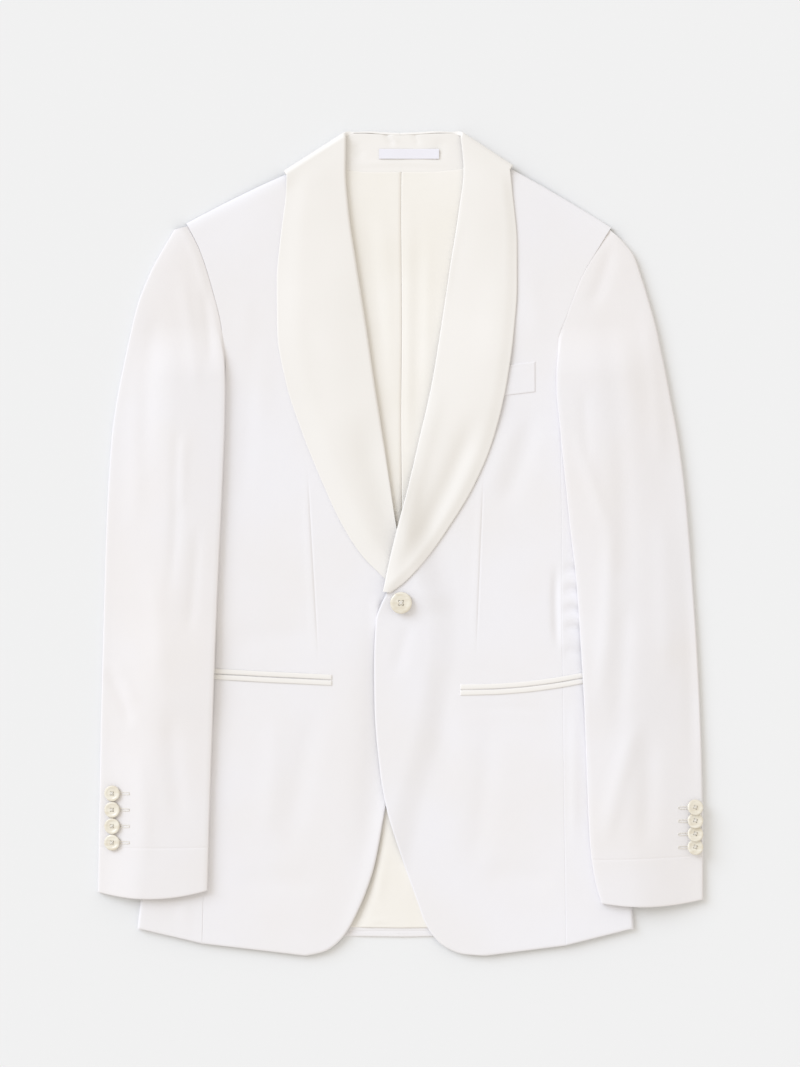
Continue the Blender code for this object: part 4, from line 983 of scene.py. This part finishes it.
def crossStitch(facts):
    # two short bars of thread crossing between the holes, dipping into each
    threads = []
    top = facts["shank"] + facts["thick"] * 0.78
    for turn in (45, 135):
        c, s = math.cos(math.radians(turn)), math.sin(math.radians(turn))
        for shiftSide in (-0.5, 0.5):
            ox, oy = -s * shiftSide * facts["thread"] * 1.7, c * shiftSide * facts["thread"] * 1.7
            lift = 0.00025 if turn == 45 else 0.0006
            path = []
            for i in range(15):
                t = i / 7 - 1
                reach = facts["holes"] * min(1.0, abs(t) * 1.15) * (1 if t > 0 else -1)
                z = top + lift * (1 - t * t) + facts["thread"] - 0.0012 * smoothStep((abs(t) - 0.78) / 0.22)
                path.append((c * reach + ox, s * reach + oy, float(z)))
            threads.append(tube(path, facts["thread"], 8, 0.12))
    return joinThreads("crossStitch", threads)


def seatButton(name, mesh, surface, slot, spot, normal, nodes=()):
    seated = mesh.copy()
    seated.transform(Matrix.Translation(spot) @ normal.to_track_quat("Z", "Y").to_matrix().to_4x4())
    return place(name, seated, surface, slot, nodes)


def sleeveTop(facts, x, y):
    x, y = np.array([x]), np.array([y])
    innerX = curveAt([(row[1], row[0]) for row in facts["rows"]], y)
    outerX = curveAt([(row[3], row[2]) for row in facts["rows"]], y)
    u = np.clip((x - innerX) / (outerX - innerX), 0, 1)
    return float((sleeveGround(facts["side"], x, y) + layers["sleeveHeight"] + ripple(x, y, 0.034, 0.0002)
                  + facts["crown"] * np.sin(math.pi * u) ** 0.7 + creaseHeight(x, y, facts["creases"]))[0])


def slopeOf(height, x, y, reach=0.005):
    slopeX = (height(x + reach, y) - height(x - reach, y)) / (2 * reach)
    slopeY = (height(x, y + reach) - height(x, y - reach)) / (2 * reach)
    return Vector((-slopeX, -slopeY, 1)).normalized()


frontButton = {"width": 0.0205, "thick": 0.0028, "shank": 0.0014, "holes": 0.0024, "bore": 0.00105,
               "thread": 0.0003, "x": 0.001, "y": -0.057}
buttonMesh = turnButton("frontButtonShape", frontButton)
spot = Vector((frontButton["x"], frontButton["y"],
               float(rightFrontTop(np.array([frontButton["x"]]), np.array([frontButton["y"]]))[0]) + 0.0005))
seatButton("frontButton", buttonMesh, buttonHorn, "button", spot, Vector((0, 0, 1)), ["front_button"])
seatButton("frontButtonThread", crossStitch(frontButton), threadCloth, "label", spot, Vector((0, 0, 1)))

cuffButton = {"width": 0.015, "thick": 0.0022, "shank": 0.001, "holes": 0.0017, "bore": 0.0007,
              "thread": 0.00024}
cuffRows = {
    "Left": {"x": -0.2698, "top": -0.2359, "pitch": 0.01535, "lean": 0.0, "lift": 0.0004, "holeSide": 1},
    "Right": {"x": 0.277, "top": -0.2495, "pitch": 0.0124, "lean": 0.23, "lift": 0.0011, "holeSide": -1},
}
cuffMesh, cuffStitch = turnButton("cuffButtonShape", cuffButton), crossStitch(cuffButton)


def buttonholeThreads(facts, row, y):
    # a stitched oval lying on the sleeve from under the button inwards
    near, far, halfWide = row["x"] - 0.002 * row["holeSide"], row["x"] + 0.0158 * row["holeSide"], 0.0011
    outline = []
    for i in range(64):
        t = i / 63 * math.tau
        x = mix(near, far, 0.5 - 0.5 * max(-1.0, min(1.0, 1.12 * math.cos(t))))
        yy = y + halfWide * max(-1.0, min(1.0, 1.6 * math.sin(t)))
        outline.append((x, yy, sleeveTop(facts, x, yy) + 0.0002))
    return tube(outline, 0.00042, 6, 0.3)


for word, row in cuffRows.items():
    facts = sleeves[word]
    holes = []
    for i in range(4):
        y = row["top"] - i * row["pitch"]
        normal = slopeOf(lambda a, b: sleeveTop(facts, a, b), row["x"], y)
        normal = (normal + Vector((0, row["lean"], 0))).normalized()
        spot = Vector((row["x"], y, sleeveTop(facts, row["x"], y) + row["lift"]))
        seatButton(f"cuffButton{word}{i + 1}", cuffMesh, buttonHorn, "button", spot, normal,
                   [f"cuff_button_{word.lower()}_{i + 1}"])
        seatButton(f"cuffThread{word}{i + 1}", cuffStitch, threadCloth, "label", spot, normal)
        holes.append(buttonholeThreads(facts, row, y))
    name = "buttonholes" + word
    facts["withPieces"] = [place(name, joinThreads(name, holes), threadCloth, "label")]
print("buttons sewn on")


# loops over every kind of sheet; they do nothing

for facts in backs.values():
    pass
for word, facts in sleeves.items():
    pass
for facts in linings.values():
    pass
for facts in fronts.values():
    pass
for facts in sides.values():
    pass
for name, facts in collars.items():
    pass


# table, light and camera

floorFinish = {"colour": (0.80, 0.80, 0.80), "roughness": 0.9, "shine": 0.1, "size": 14}
surface, tree, shader = newSurface("paleFloor")
feed(tree, shader, {"Base Color": (*floorFinish["colour"], 1), "Roughness": floorFinish["roughness"],
                    "Specular IOR Level": floorFinish["shine"]})
bpy.ops.mesh.primitive_plane_add(size=floorFinish["size"], location=(0, 0, -0.0002))
floor = bpy.context.object
floor.name = "floor"
floor.data.materials.append(surface)

light = {"sky": (0.87, 0.84, 0.79), "key": 1.8, "keyColour": (0.742, 0.839, 1.0),
         "keyFrom": (-0.85, 0.6, 0.67), "keySize": 38}
world = bpy.data.worlds.new("studio")
world.use_nodes = True
world.node_tree.nodes["Background"].inputs["Color"].default_value = (*light["sky"], 1)
world.node_tree.nodes["Background"].inputs["Strength"].default_value = 1.0
bpy.context.scene.world = world
sun = bpy.data.lights.new("key", "SUN")
sun.energy = light["key"]
sun.color = light["keyColour"]
sun.angle = math.radians(light["keySize"])
key = bpy.data.objects.new("key", sun)
key.rotation_euler = Vector(light["keyFrom"]).to_track_quat("Z", "Y").to_euler()
bpy.context.scene.collection.objects.link(key)

view = {"lens": 100.0, "sensor": 36, "across": 1.003, "x": 0.0, "y": 0.008, "clothHeight": 0.005}
lens = bpy.data.cameras.new("camera")
lens.lens = view["lens"]
camera = bpy.data.objects.new("camera", lens)
camera.location = (view["x"], view["y"], view["across"] * view["lens"] / view["sensor"] + view["clothHeight"])
bpy.context.scene.collection.objects.link(camera)
bpy.context.scene.camera = camera
bpy.context.scene.view_settings.view_transform = "Standard"
print("floor, light and camera set")

bpy.context.view_layer.update()
